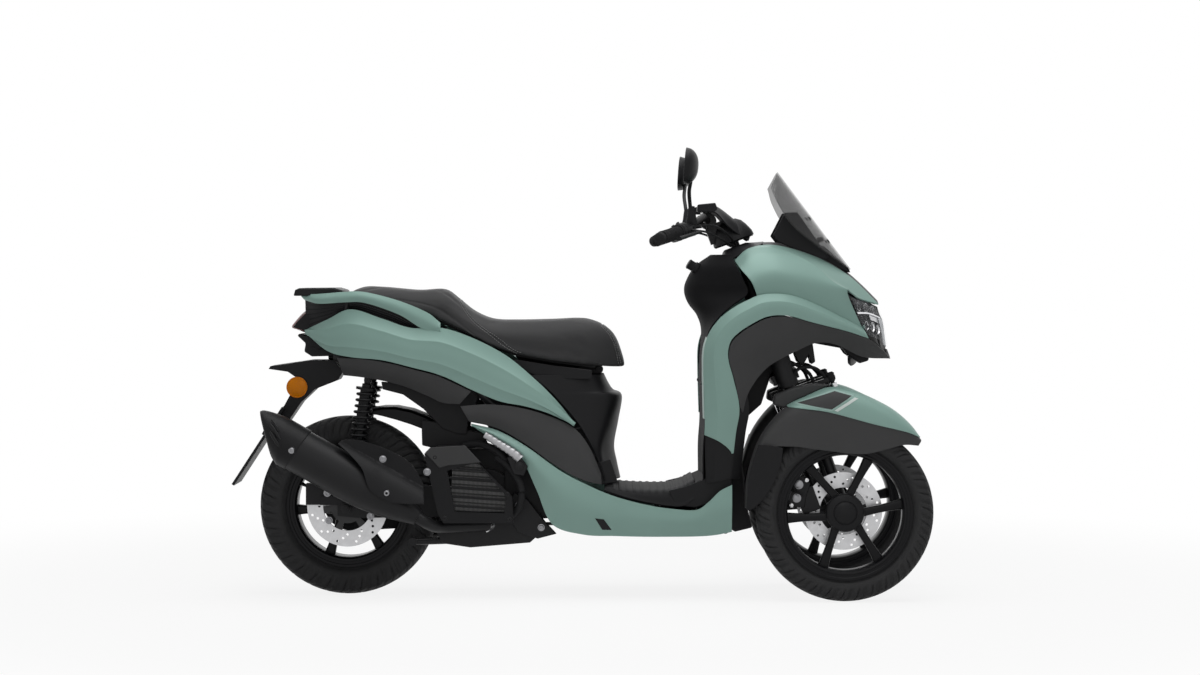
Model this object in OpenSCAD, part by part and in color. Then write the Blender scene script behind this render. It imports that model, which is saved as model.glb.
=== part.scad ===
// Three-wheel motor scooter: two steered front wheels on cantilever forks, one driven rear wheel.
// Millimetres. +X is forward, +Y is the rider's left, +Z is up, and the wheels stand on z = 0.

/* [Wheels and stance] */
// Distance from the rear axle to the front axle
wheelbase = 1410; // [1380:5:1440]
// Distance of the rear axle behind the origin
rear_axle_x = -665; // [-680:1:-650]
// Distance between the middles of the two front tyres
front_track = 385; // [375:1:400]
// Outer radius of a front tyre
front_tyre_r = 250; // [244:1:254]
// Width of a front tyre
front_tyre_w = 90; // [80:1:96]
// Bead radius of a front wheel
front_bead_r = 178; // [172:1:182]
// Outer radius of the rear tyre
rear_tyre_r = 256; // [250:1:260]
// Width of the rear tyre
rear_tyre_w = 130; // [120:1:134]
// Bead radius of the rear wheel
rear_bead_r = 165; // [160:1:170]
// Radius of a front brake disc
front_disc_r = 110; // [100:1:114]
// Radius of the rear brake disc
rear_disc_r = 115; // [105:1:118]
// Thickness of a brake disc
disc_t = 4; // [3:0.5:5]
// Radius of the wheel axles
axle_r = 10; // [8:0.5:11]

/* [Steering] */
// Rake of the steering axes from the vertical
rake = 20; // [18:0.5:22]
// Distance from a front contact patch to the steering axis on the ground
trail = 68; // [60:1:76]
// Distance from a front tyre's middle in to its steering axis
kingpin_inset = 74.5; // [70:0.5:80]
// Distance from a front tyre's middle in to its brake disc
disc_inset = 40.5; // [39:0.5:42]
// Radius of the fork tubes
fork_tube_r = 16.5; // [14:0.5:18]
// Distance from the steering axis to the tie rod
steer_arm = 120; // [110:1:125]
// Radius of the steering shaft
shaft_r = 12.5; // [11:0.5:14]
// Half width of the handlebar at the grip ends
bar_half_w = 345; // [320:1:360]
// Radius of the handlebar tube
bar_r = 11; // [10:0.5:12]

/* [Bodywork] */
// Thickness of the body panels
panel_t = 4; // [3:0.5:5]
// Shut line between two panels
shut_gap = 0.6; // [0.4:0.1:0.8]
// Height of the footboard's top
floor_z = 312; // [308:1:318]
// Thickness of the windscreen
screen_t = 4; // [3:0.5:5]

/* [Seat and storage] */
// Thickness of the storage box's walls
box_t = 4; // [3:0.5:5]
// Half width of the storage box
box_half_w = 100; // [92:1:102]
// Floor of the storage box
box_floor_z = 452; // [446:1:470]

/* [Frame] */
// Radius of the main frame tubes
frame_r = 15; // [13:0.5:17]
// Distance of the frame rails from the middle plane
rail_y = 128; // [124:1:130]

/* [Rear end] */
// Distance of the rear dampers from the middle plane
damper_y = 100; // [98:1:104]
// Radius of a rear damper's spring
spring_r = 27; // [24:1:29]
// Coils of a damper's spring
spring_coils = 9; // [7:1:11]
// Radius of a spring's wire
spring_wire_r = 5; // [4:0.5:6]
// Largest radius of the silencer
silencer_r = 63; // [58:1:66]
// Distance of the silencer from the middle plane
silencer_y = 198; // [194:1:204]

/* [Mounts] */
// Radius of the rack's bolt holes
rack_hole_r = 4.25; // [3.5:0.25:5]
// Distance between the rack's bolt holes, across
rack_hole_y = 100; // [90:1:104]
// Distance between the rack's bolt holes, along
rack_hole_x = 60; // [50:1:70]
// Radius of the number plate's bolt holes
plate_hole_r = 3.5; // [3:0.25:4]
// Distance between the number plate's bolt holes
plate_hole_pitch = 90; // [70:1:110]

/* [Hidden] */
$fn = 48;
front_axle_x = rear_axle_x + wheelbase;
wheel_y = front_track / 2;
kingpin_y = wheel_y - kingpin_inset;
disc_y = wheel_y - disc_inset;
kingpin_foot_x = front_axle_x + trail;
run = 0.05;       // radial clearance of a turning fit
touch = 0.3;      // gap between two pieces that seat on each other

// Curves and surfaces

// Point on one span of a smooth curve through p1 and p2
function span(p0, p1, p2, p3, t) =
  0.5 * (2 * p1 + (p2 - p0) * t + (2 * p0 - 5 * p1 + 4 * p2 - p3) * t * t
         + (3 * p1 - p0 - 3 * p2 + p3) * t * t * t);

// Control point i, continued in a straight line past both ends
function knot(p, i) =
  i < 0 ? 2 * p[0] - p[1] : i >= len(p) ? 2 * p[len(p) - 1] - p[len(p) - 2] : p[i];

// Point at t from 0 to 1 on the smooth curve through p
function curve(p, t) =
  let (n = len(p) - 1, k = max(0, min(floor(t * n), n - 1)))
  span(knot(p, k - 1), knot(p, k), knot(p, k + 1), knot(p, k + 2), t * n - k);

// Point of the smooth surface through rows of control points
function patch(rows, u, v) = curve([for (r = rows) curve(r, u)], v);

function unit(a) = a / max(norm(a), 1e-9);

// Normal of that surface, by small differences
function patch_normal(rows, u, v) =
  let (d = 0.002, u0 = max(0, u - d), u1 = min(1, u + d), v0 = max(0, v - d), v1 = min(1, v + d))
  unit(cross(patch(rows, u1, v) - patch(rows, u0, v), patch(rows, u, v1) - patch(rows, u, v0)));

// Closed sheet on the surface through rows, thickened against its normal by t, from a depth of lift
module sheet(rows, t = panel_t, nu = 14, nv = 6, u0 = 0, u1 = 1, v0 = 0, v1 = 1, lift = 0) {
  us = [for (i = [0:nu]) u0 + (u1 - u0) * i / nu];
  vs = [for (j = [0:nv]) v0 + (v1 - v0) * j / nv];
  outer = [for (u = us) for (v = vs) patch(rows, u, v) - lift * patch_normal(rows, u, v)];
  inner = [for (u = us) for (v = vs) patch(rows, u, v) - (lift + t) * patch_normal(rows, u, v)];
  m = (nu + 1) * (nv + 1);
  function id(i, j) = i * (nv + 1) + j;
  top = [for (i = [0:nu - 1]) for (j = [0:nv - 1])
    [id(i, j), id(i, j + 1), id(i + 1, j + 1), id(i + 1, j)]];
  bottom = [for (f = top) [m + f[3], m + f[2], m + f[1], m + f[0]]];
  sides = concat(
    [for (i = [0:nu - 1]) [id(i, 0), id(i + 1, 0), m + id(i + 1, 0), m + id(i, 0)]],
    [for (i = [0:nu - 1]) [id(i + 1, nv), id(i, nv), m + id(i, nv), m + id(i + 1, nv)]],
    [for (j = [0:nv - 1]) [id(0, j + 1), id(0, j), m + id(0, j), m + id(0, j + 1)]],
    [for (j = [0:nv - 1]) [id(nu, j), id(nu, j + 1), m + id(nu, j + 1), m + id(nu, j)]]);
  faces = [for (f = concat(top, bottom, sides)) each [[f[0], f[1], f[2]], [f[0], f[2], f[3]]]];
  polyhedron(concat(outer, inner), t > 0 ? faces : [for (f = faces) [f[2], f[1], f[0]]], convexity = 6);
}

// Closed solid through a list of rings, each with the same number of points
module loft(rings) {
  n = len(rings[0]);
  m = len(rings);
  walls = [for (i = [0:m - 2]) for (j = [0:n - 1])
    each [[(i + 1) * n + (j + 1) % n, i * n + (j + 1) % n, i * n + j],
          [(i + 1) * n + j, (i + 1) * n + (j + 1) % n, i * n + j]]];
  polyhedron([for (r = rings) for (p = r) p],
             concat(walls, [[for (j = [0:n - 1]) j]], [[for (j = [n - 1:-1:0]) (m - 1) * n + j]]),
             convexity = 6);
}

// Round bar from p to q
module bar(p, q, r) {
  d = q - p;
  translate(p) rotate([0, acos(d[2] / norm(d)), atan2(d[1], d[0])]) cylinder(h = norm(d), r = r);
}

// Round tube through points, with a ball at each bend
module pipe(points, r) {
  for (i = [0:len(points) - 2]) bar(points[i], points[i + 1], r);
  for (i = [1:1:len(points) - 2]) translate(points[i]) sphere(r = 1.06 * r);
}

module both_sides() { children(); mirror([0, 1, 0]) children(); }

stay_r = 5;       // radius of a stay
ball = 7;         // radius of the balls at its ends

// Point of the line from a to b that is nearest to p
function nearest(a, b, p) = a + max(0, min(1, (p - a) * (b - a) / ((b - a) * (b - a)))) * (b - a);

// Middle of a ball that seats on the sheet of thickness t on rows, on its inside or its outside
function seat_in(rows, u, v, t) = patch(rows, u, v) - (t + sign(t) * (touch + ball)) * patch_normal(rows, u, v);
function seat_out(rows, u, v, t) = patch(rows, u, v) + sign(t) * (touch + ball) * patch_normal(rows, u, v);

// Rod between two balls
module strut(p, q) {
  bar(p, q, stay_r);
  translate(p) sphere(r = ball);
  translate(q) sphere(r = ball);
}

// Stay from the tube along a to b, of radius r, to the inside of a sheet at a grid point
module stay(a, b, r, rows, u, v, t = panel_t) {
  tip = seat_in(rows, u, v, t);
  from = nearest(a, b, tip);
  way = unit(tip - from);
  strut(from + (r + touch + ball) / norm(cross(way, unit(b - a))) * way, tip);
}

// Frame of a steering axis at distance y: local Z runs up the axis, local X points forward
module on_axis(y = 0) { translate([kingpin_foot_x, y, 0]) rotate([0, -rake, 0]) children(); }

// Place of the front axle in that frame
axle_local_x = -trail * cos(rake) + front_tyre_r * sin(rake);
axle_local_z = trail * sin(rake) + front_tyre_r * cos(rake);

// Levels along the steering axes
arm_low = 668;               // lower leaning arm
arm_gap = 70;                // distance between the leaning arms
arm_high = arm_low + arm_gap;
link_low = arm_low - 28;     // lower end of a side link
link_high = arm_high + 26;   // upper end of a side link
fork_top = link_low - 14;    // top of a fork's upper bracket
head_low = arm_low - 20;     // lower end of the head tube
head_high = head_low + 312;  // upper end of the head tube
tie_level = fork_top - 14;   // middle of the tie rod
link_r = 30;             // outer radius of a side link
head_r = 27;             // outer radius of the head tube

// Body lines of the front end: [x, distance from the middle plane, z]

cowl_top = [[440, 128, 958], [480, 120, 992], [545, 104, 1003], [620, 84, 988], [700, 66, 958],
            [780, 52, 908], [857, 40, 834]];
cowl_high = [[452, 196, 936], [490, 180, 968], [548, 166, 976], [612, 150, 962], [676, 134, 936],
             [726, 122, 904], [800, 92, 850]];
cowl_waist = [[482, 226, 898], [506, 220, 914], [556, 210, 922], [612, 196, 911], [664, 178, 896],
              [708, 162, 882], [756, 140, 872]];
crease = [[807, 116, 765], [747, 154, 797], [654, 194, 842], [584, 218, 864], [514, 231, 865],
          [472, 236, 849], [435, 239, 830], [398, 240, 802], [366, 240, 760], [349, 238, 710],
          [347, 234, 640], [350, 224, 513], [347, 212, 427], [350, 204, 330]];
grey_line = [[821, 118, 737], [747, 166, 760], [654, 208, 783], [584, 229, 802], [528, 240, 800],
             [482, 244, 779], [447, 246, 756], [424, 246, 732], [416, 246, 700], [420, 244, 668],
             [432, 241, 628], [450, 231, 545], [440, 218, 470], [426, 208, 345]];
arch_mid = [[862, 84, 704], [780, 136, 731], [694, 182, 757], [624, 210, 760], [560, 226, 742],
            [512, 236, 722], [478, 240, 700], [452, 242, 676], [440, 242, 650], [440, 241, 626],
            [444, 239, 598], [454, 231, 540]];
arch_edge = [[892, 30, 677], [806, 96, 684], [728, 150, 719], [668, 178, 726], [612, 196, 704],
             [564, 208, 681], [530, 214, 660], [504, 219, 634], [484, 222, 606], [472, 224, 584],
             [464, 225, 560], [458, 226, 532]];

cowl_low = [for (k = [0:6]) curve(crease, (4.3 - 4.3 * k / 6) / 13)];
cowl_rows = [cowl_top, cowl_high, cowl_waist, cowl_low];
shield_rows = [crease, [for (k = [0:13]) 0.5 * (crease[k] + grey_line[k]) + [0, 5, 0]], grey_line];
arch_rows = [[for (k = [0:11]) grey_line[k]], arch_mid, arch_edge];

// Painted upper halves of the nose, one each side
module front_cowl() {
  color("mediumaquamarine") both_sides() sheet(cowl_rows, t = panel_t, nu = 14, nv = 7, v1 = 0.97);
}

nose_edge = [for (k = [0:8]) curve(cowl_top, 0.28 + 0.72 * k / 8) - [0, 3.5, 0]];
nose_rows = [nose_edge, [for (p = nose_edge) [p[0], 0, p[2] + 10]], [for (p = nose_edge) [p[0], -p[1], p[2]]]];

// Dark centre strip from the dash to the tip of the nose, under the windscreen
module nose_trim() {
  color("dimgray") sheet(nose_rows, t = -panel_t, nu = 10, nv = 6);
}

// Painted band over the front arch and down the leg shield, one each side
module leg_shield() {
  color("mediumaquamarine") both_sides()
    sheet(shield_rows, t = -panel_t, nu = 26, nv = 3, v0 = 0.03, v1 = 0.97);
}

// Grey panel along the front arch
module arch_panel() {
  color("dimgray") both_sides() sheet(arch_rows, t = -panel_t, nu = 20, nv = 4, v0 = 0.03);
}

lip_rows = [[[878, 25, 706], [885, 0, 704], [878, -25, 706]], [[887, 22, 682], [894, 0, 680], [887, -22, 682]]];

// Grey lip under the headlamps, at the front of the nose
module beak() {
  color("dimgray") sheet(lip_rows, t = panel_t, nu = 8, nv = 2);
}

// [height, x at the middle, half width, x at the edge] of the wall that faces the rider
inner_levels = [[962, 400, 114, 430], [936, 345, 184, 442], [898, 308, 212, 462], [866, 300, 221, 470],
                [834, 306, 227, 428], [802, 318, 231, 388], [760, 330, 231, 356], [700, 336, 229, 341],
                [610, 336, 225, 338], [510, 335, 215, 340], [425, 334, 204, 338], [330, 336, 196, 340]];
inner_rows = [for (q = [-1:0.5:1])
  [for (l = inner_levels) [l[1] + (l[3] - l[1]) * pow(abs(q), 2.4), -q * l[2], l[0]]]];

// Black wall that faces the rider, between the two edges of the leg shield
module inner_panel() {
  color("black") sheet(inner_rows, t = panel_t, nu = 22, nv = 10);
}

// [x and z at the middle, half width, sweep back and drop at the edge] of the windscreen
screen_levels = [[762, 958, 62, 10, 6], [718, 1016, 108, 42, 14], [668, 1083, 136, 66, 22],
                 [616, 1152, 126, 60, 30], [569, 1215, 84, 32, 46]];
screen_rows = [for (q = [-1:0.5:1])
  [for (l = screen_levels) [l[0] - l[3] * q * q, -q * l[2], l[1] - l[4] * q * q]]];

// Smoked windscreen
module windscreen() {
  color("slategray") sheet(screen_rows, t = screen_t, nu = 10, nv = 10);
}

lamp_rows = [[[771, 132, 855], [816, 90, 841], [859, 43, 819]],
             [[793, 119, 797], [835, 88, 797], [873, 39, 783]],
             [[822, 110, 746], [855, 83, 732], [884, 38, 708]]];

// Twin headlamps under the nose
module headlamps() {
  color("lightgray") both_sides() sheet(lamp_rows, t = 20, nu = 6, nv = 5);
}

// Body lines of the floor and the tail

floor_top = [[-306, 166, 498], [-230, 172, 478], [-150, 178, 434], [-58, 186, 368], [20, 192, 327],
             [100, 196, 294], [183, 198, 272], [258, 200, 260], [327, 202, 257], [362, 203, 278],
             [392, 204, 308], [420, 206, 318]];
floor_low = [[-300, 166, 488], [-240, 173, 450], [-165, 179, 396], [-122, 182, 312], [-78, 178, 215],
             [10, 174, 185], [100, 174, 181], [184, 174, 179], [258, 174, 179], [327, 176, 180],
             [380, 180, 184], [420, 188, 194]];
cover_top = [[-786, 70, 760], [-718, 112, 791], [-650, 136, 820], [-560, 146, 794], [-479, 152, 768],
             [-392, 156, 746], [-300, 158, 735], [-206, 157, 686], [-125, 156, 621], [-65, 155, 561],
             [-14, 155, 497]];
cover_low = [[-783, 72, 750], [-717, 118, 700], [-650, 146, 683], [-560, 160, 675], [-479, 168, 656],
             [-392, 172, 632], [-302, 174, 590], [-225, 174, 559], [-155, 172, 546], [-85, 168, 525],
             [-16, 160, 493]];
trim_top = [[-690, 132, 683], [-618, 151, 681], [-548, 160, 671], [-470, 168, 652], [-400, 171, 633],
            [-345, 172, 609], [-306, 173, 590]];
trim_low = [[-672, 116, 632], [-629, 126, 628], [-573, 136, 620], [-502, 142, 603], [-432, 146, 575],
            [-390, 150, 556], [-340, 160, 552]];
lower_top = [[-338, 168, 548], [-265, 173, 554], [-185, 173, 548], [-104, 170, 528], [-20, 163, 491],
             [26, 160, 436], [60, 160, 358]];
lower_low = [[-312, 167, 503], [-231, 174, 484], [-152, 180, 440], [-94, 184, 398], [-34, 187, 360],
             [20, 184, 336], [62, 172, 326]];
rail_top = [[-800, 84, 862], [-740, 122, 864], [-664, 140, 870], [-607, 146, 869], [-513, 152, 845],
            [-433, 155, 812], [-394, 157, 782]];
rail_low = [[-786, 86, 846], [-740, 126, 836], [-664, 142, 840], [-607, 148, 838], [-513, 154, 806],
            [-450, 157, 768], [-394, 158, 750]];

function midway(a, b, out) = [for (k = [0:len(a) - 1]) 0.5 * (a[k] + b[k]) + [0, out, 0]];
function raised(a, dz) = [for (p = a) p + [0, 0, dz]];

floor_rows = [floor_top, midway(floor_top, floor_low, 12), floor_low];
cover_rows = [cover_top, midway(cover_top, cover_low, 12), cover_low];
trim_rows = [trim_top, midway(trim_top, trim_low, 4), trim_low];
lower_rows = [lower_top, midway(lower_top, lower_low, 6), lower_low];
rail_rows = [rail_top, midway(rail_top, rail_low, 6), rail_low];

// Painted sides of the floor, from the passenger's footrest to the leg shield
module floor_panels() {
  color("mediumaquamarine") both_sides() sheet(floor_rows, t = panel_t, nu = 20, nv = 4);
}

// [x, height of the top, half width of the top, height and half width of the edge] of the footboard
board_levels = [[70, 323, 140, 312, 180], [130, 316, 150, 292, 184], [190, floor_z, 156, 278, 186],
                [250, floor_z, 158, 268, 186], [290, 322, 158, 268, 186], [322, 340, 156, 288, 186]];
board_rows = [[for (l = board_levels) [l[0], -l[4], l[3]]],
              [for (l = board_levels) [l[0], -l[2] - 12, l[1] - 6]],
              [for (l = board_levels) [l[0], -l[2] * 0.5, l[1]]],
              [for (l = board_levels) [l[0], l[2] * 0.5, l[1]]],
              [for (l = board_levels) [l[0], l[2] + 12, l[1] - 6]],
              [for (l = board_levels) [l[0], l[4], l[3]]]];

// Black rubber footboard with a ramp at its front and rounded edges
module footboard() {
  color("black") sheet(board_rows, t = 10, nu = 10, nv = 15);
}

belly_rows = [for (q = [-1:0.5:1])
  [for (x = [-6, 80, 180, 300, 400]) [x, 162 * q, 190 + 12 * max(0, abs(q) - 0.5) + max(0, x - 330) * 0.35]]];

// Black tray under the floor
module belly_pan() {
  color("black") sheet(belly_rows, t = panel_t, nu = 8, nv = 4);
}

// [height, x of the front, half width of the front, x of the rear edge, half width there]
centre_levels = [[634, 68, 112, -140, 148], [606, 82, 112, -104, 148], [588, 93, 112, -84, 148],
                 [570, 116, 112, -66, 148], [500, 108, 114, -6, 148], [430, 98, 116, 36, 148],
                 [380, 106, 120, 58, 148], [334, 116, 124, 72, 148]];
centre_rows = [[for (l = centre_levels) [l[3], -l[4], l[0]]],
               [for (l = centre_levels) [l[1] - 34, -l[2], l[0]]],
               [for (l = centre_levels) [l[1], 0, l[0]]],
               [for (l = centre_levels) [l[1] - 34, l[2], l[0]]],
               [for (l = centre_levels) [l[3], l[4], l[0]]]];

// Black cover under the front of the seat
module centre_cover() {
  color("black") sheet(centre_rows, t = panel_t, nu = 12, nv = 12);
}

// Grey panels between the tail and the floor
module lower_covers() {
  color("dimgray") both_sides() sheet(lower_rows, t = panel_t, nu = 12, nv = 3, v0 = 0.03);
}

// Painted sides of the tail
module side_covers() {
  color("mediumaquamarine") both_sides() sheet(cover_rows, t = panel_t, nu = 18, nv = 5, v1 = 0.98);
}

// Grey lower edges of the tail
module tail_trims() {
  color("dimgray") both_sides() sheet(trim_rows, t = panel_t, nu = 10, nv = 3, v0 = 0.05);
}

// Painted grab rails, one each side of the pillion seat
module grab_rail() {
  color("mediumaquamarine") both_sides() sheet(rail_rows, t = 14, nu = 12, nv = 3);
}

rack_x = -752;        // middle of the carrier
rack_z = 872;         // top of the carrier
rack_t = 8;           // thickness of the carrier

// Black carrier between the ends of the grab rails, with holes for a case
module rear_carrier() {
  color("black") difference() {
    translate([0, 0, rack_z - rack_t]) linear_extrude(rack_t)
      polygon([[-800, -52], [-792, -62], [-740, -96], [-700, -112], [-690, -108], [-690, 108], [-700, 112],
               [-740, 96], [-792, 62], [-800, 52]]);
    for (x = [-1, 1], y = [-1, 1])
      translate([rack_x + x * rack_hole_x / 2, y * rack_hole_y / 2, rack_z - 2 * rack_t])
        cylinder(h = 3 * rack_t, r = rack_hole_r);
  }
}

box_x = [-262, 14];        // ends of the storage box
box_top_z = 630;           // rim of the storage box
hinge_x = 56;              // seat hinge
hinge_z = 646;
hinge_r = 5;
hinge_lug_r = 10;

// Box under the seat, open at the top, with the seat's hinge pin on its front wall
module storage_box() {
  color("dimgray") {
    difference() {
      translate([box_x[0], -box_half_w, box_floor_z])
        cube([box_x[1] - box_x[0], 2 * box_half_w, box_top_z - box_floor_z]);
      translate([box_x[0] + box_t, box_t - box_half_w, box_floor_z + box_t])
        cube([box_x[1] - box_x[0] - 2 * box_t, 2 * (box_half_w - box_t), box_top_z]);
    }
    for (y = [-46, 34]) translate([0, y, 0]) {
      translate([box_x[1] - box_t, 0, box_top_z - 20]) cube([12, 12, hinge_z - box_top_z + 20]);
      translate([box_x[1] - box_t, 0, hinge_z - hinge_lug_r]) cube([hinge_x - box_x[1] + box_t, 12, hinge_lug_r]);
      translate([hinge_x, 0, hinge_z]) rotate([-90, 0, 0]) cylinder(h = 12, r = hinge_lug_r);
    }
    translate([hinge_x, -46, hinge_z]) rotate([-90, 0, 0]) cylinder(h = 92, r = hinge_r);
  }
}

// Red lamp across the tail
module tail_lamp() {
  color("firebrick") translate([0, 64, 0]) rotate([90, 0, 0]) linear_extrude(128)
    polygon([[-824, 768], [-806, 790], [-772, 822], [-736, 806], [-700, 790], [-700, 740], [-744, 700],
             [-778, 716], [-786, 742], [-790, 760]]);
}

plate_tilt = 33;         // lean of the number plate's holder from the vertical

// Point of the tail piece that keeps its distance from the rear tyre
function behind(x, z) = [rear_axle_x - rear_tyre_r + x, rear_tyre_r / 2 + z];

plate_mid = behind(0.7, 300);        // middle of the number plate's holder
reflector_mid = behind(110, 468);    // middle of a reflector

// Black tail piece over the rear wheel that holds the number plate
module rear_fender() {
  color("black") {
    translate([0, 52, 0]) rotate([90, 0, 0]) linear_extrude(104)
      polygon([behind(28, 520), behind(33, 528), [-772, 673], [-706, 673], [-680, 640], [-694, 616],
               behind(161, 462), behind(121, 424), behind(83, 368), behind(41, 360), behind(71, 412),
               behind(93, 452), behind(109, 494), behind(83, 512)]);
    difference() {
      translate([plate_mid[0], 0, plate_mid[1]]) rotate([0, plate_tilt, 0])
        translate([-4, -82, -131]) cube([8, 164, 262]);
      translate([plate_mid[0], 0, plate_mid[1]]) rotate([0, plate_tilt, 0])
        for (y = [-1, 1]) translate([-20, y * plate_hole_pitch / 2, 0]) rotate([0, 90, 0])
          cylinder(h = 40, r = plate_hole_r);
    }
  }
}

// Round amber reflectors on the tail piece
module reflectors() {
  color("orange") for (y = [-62, 52 + touch]) translate([reflector_mid[0], y, reflector_mid[1]])
    rotate([-90, 0, 0]) cylinder(h = 62 - 52 - touch, r = 27);
}

// Seat sections: [x, height of the top, height of the base, half width]
seat_levels = [[-664, 868, 852, 84], [-640, 883, 848, 110], [-560, 881, 840, 124], [-465, 873, 812, 132],
               [-390, 875, 786, 137], [-350, 848, 766, 140], [-304, 812, 744, 143], [-250, 790, 716, 146],
               [-180, 787, 694, 148], [-80, 789, 676, 146], [0, 792, 666, 136], [60, 783, 659, 116],
               [104, 744, 656, 96], [132, 664, 656, 78]];

// Two-level seat cushion with a crowned top
module seat() {
  n = 16;
  color("dimgray") loft([for (l = seat_levels)
    [for (k = [0:n]) let (a = 180 * k / n, c = cos(a))
      [l[0], l[3] * sign(c) * pow(abs(c), 0.55), l[2] + (l[1] - l[2]) * pow(sin(a), 0.6)]]]);
}

// Plastic base of the seat, with the hinge's knuckle
module seat_pan() {
  pan_t = 8;
  color("black") {
    line = concat([for (k = [1:10]) [seat_levels[k][0], seat_levels[k][2] - touch]],
                  [[hinge_x - hinge_lug_r - 4, hinge_z + 14.6]]);
    translate([0, 92, 0]) rotate([90, 0, 0]) linear_extrude(184)
      polygon(concat(line, [for (k = [10:-1:0]) line[k] - [0, pan_t]]));
    difference() {
      union() {
        translate([hinge_x, -33, hinge_z]) rotate([-90, 0, 0]) cylinder(h = 66, r = hinge_lug_r);
        translate([hinge_x - 60, -33, hinge_z]) cube([60, 66, 13]);
      }
      translate([hinge_x, -60, hinge_z]) rotate([-90, 0, 0]) cylinder(h = 120, r = hinge_r + run);
    }
  }
}

// Frame tubes of one side, from the head to the tail
frame_path = [[524, 22, 806], [440, 60, 800], [388, 106, 700], [380, 116, 350], [336, 124, 226],
              [-60, rail_y, 226], [-150, rail_y, 450], [-330, rail_y, 636], [-700, 108, 686]];
stand_pivot = [-40, 150, 185];      // side stand's pivot
stand_turn = 113.6;                 // turn that points local Z along the side stand's pivot
stand_pin_r = 7;

module on_side_stand() { translate(stand_pivot) rotate([stand_turn, 0, 0]) children(); }

damper_top = [-604, damper_y, 620];
damper_low = [-645, damper_y, rear_tyre_r + 97.2];
eye_r = 11;                         // radius of a damper's eye

// Tube frame with the head tube, posts for the tail and the side stand's pin
module frame() {
  eye = damper_top + (eye_r + touch) * unit([-604, 112, 672] - damper_top);
  color("black") difference() {
    union() {
      on_axis() translate([0, 0, head_low]) cylinder(h = head_high - head_low, r = head_r);
      both_sides() {
        pipe(frame_path, frame_r);
        bar([-684, 82, 684], [-726, 82, rack_z - rack_t - touch - 1.4], 6);
        bar([-684, 40, 684], [-692, 40, 770], 7.7);
        bar([-684, 22, 684], [-724, 22, 680.3], 7);
        bar([220, 60, 226], [220, 60, 189.2 + touch], 8);
        bar([-604, 112, 672], eye, 8);
      }
      bar([382, -113, 440], [382, 113, 440], 12);
      bar([220, -124, 227], [220, 124, 227], 11);
      bar([-684, -108, 684], [-684, 108, 684], 12);
      bar([-420, -122, 648], [-420, 122, 648], 12);
      bar([-90, 1 - rail_y, 300], [-90, rail_y - 1, 300], 12);
      on_side_stand() {
        translate([0, 0, -10]) cylinder(h = 26, r = stand_pin_r);
        translate([0, 0, 9]) cylinder(h = 9, r = 14);
      }
      bar([-40, rail_y, 226], stand_pivot + 14 * [0, -sin(stand_turn), cos(stand_turn)], 5);
    }
    on_axis() translate([0, 0, head_low - 40]) cylinder(h = head_high - head_low + 80, r = shaft_r + run);
  }
}

// Part of the head tube's middle line that carries the front stays
head = [for (z = [link_high + 34, head_high - 20]) [kingpin_foot_x - z * sin(rake), 0, z * cos(rake)]];

// Stays of one side, from the frame's tubes to the panels
module stays_of_a_side() {
  f = frame_path;
  stay(head[0], head[1], head_r, cowl_rows, 8 / 14, 0.97 * 4 / 7, panel_t);
  strut(seat_out(nose_rows, 4 / 10, 2 / 6, -panel_t), seat_in(screen_rows, 3 / 10, 3 / 10, screen_t));
  stay(head[0], head[1], head_r, lamp_rows, 3 / 6, 2 / 5, 20);
  stay(f[2], f[3], frame_r, shield_rows, 14 / 26, 0.03 + 0.94 / 3, -panel_t);
  stay(f[2], f[3], frame_r, shield_rows, 22 / 26, 0.03 + 0.94 / 3, -panel_t);
  stay(f[1], f[2], 1.06 * frame_r, arch_rows, 8 / 20, 0.03 + 0.97 / 4, -panel_t);
  stay(f[2], f[3], frame_r, inner_rows, 16 / 22, 2 / 10, panel_t);
  stay(f[4], f[5], frame_r, board_rows, 5 / 10, 11 / 15, 10);
  stay(f[4], f[5], frame_r, floor_rows, 12 / 20, 3 / 4, panel_t);
  stay(f[5], f[6], frame_r, floor_rows, 5 / 20, 2 / 4, panel_t);
  stay(f[6], f[7], frame_r, lower_rows, 4 / 12, 0.03 + 0.97 / 3, panel_t);
  stay(f[5], f[6], frame_r, centre_rows, 7 / 12, 11 / 12, panel_t);
  stay(f[6], f[7], frame_r, cover_rows, 11 / 18, 0.98 * 3 / 5, panel_t);
  stay(f[7], f[8], frame_r, cover_rows, 5 / 18, 0.98 * 3 / 5, panel_t);
  stay(f[7], f[8], frame_r, trim_rows, 4 / 10, 0.05 + 0.95 / 3, panel_t);
  stay(f[7], f[8], frame_r, rail_rows, 4 / 12, 1 / 3, 17.2);
}

// Stays that carry the panels
module panel_stays() {
  color("black") {
    both_sides() stays_of_a_side();
    stay(head[0], head[1], head_r, nose_rows, 4 / 10, 3 / 6, -panel_t);
    stay(head[0], head[1], head_r, lip_rows, 4 / 8, 1 / 2, panel_t);
  }
}

// Fixed parallelogram that carries the two forks
module lean_linkage() {
  color("gray") difference() {
    on_axis() {
      for (z = [arm_low, arm_high], x = [-1, 1])
        translate([x > 0 ? head_r + touch : -head_r - touch - 10, -kingpin_y, z - 14])
          cube([10, 2 * kingpin_y, 28]);
      for (y = [-1, 1]) translate([0, y * kingpin_y, link_low]) cylinder(h = link_high - link_low, r = link_r);
    }
    on_axis() for (y = [-1, 1])
      translate([0, y * kingpin_y, link_low - 1]) cylinder(h = link_high - link_low + 2, r = kingpin_r + run);
  }
}

kingpin_r = 15;           // radius of a kingpin
arm_t = 12;               // thickness of the steering arms
ball_r = 6;               // radius of the tie rod's pins
rod_h = 12;               // height of the tie rod

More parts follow.
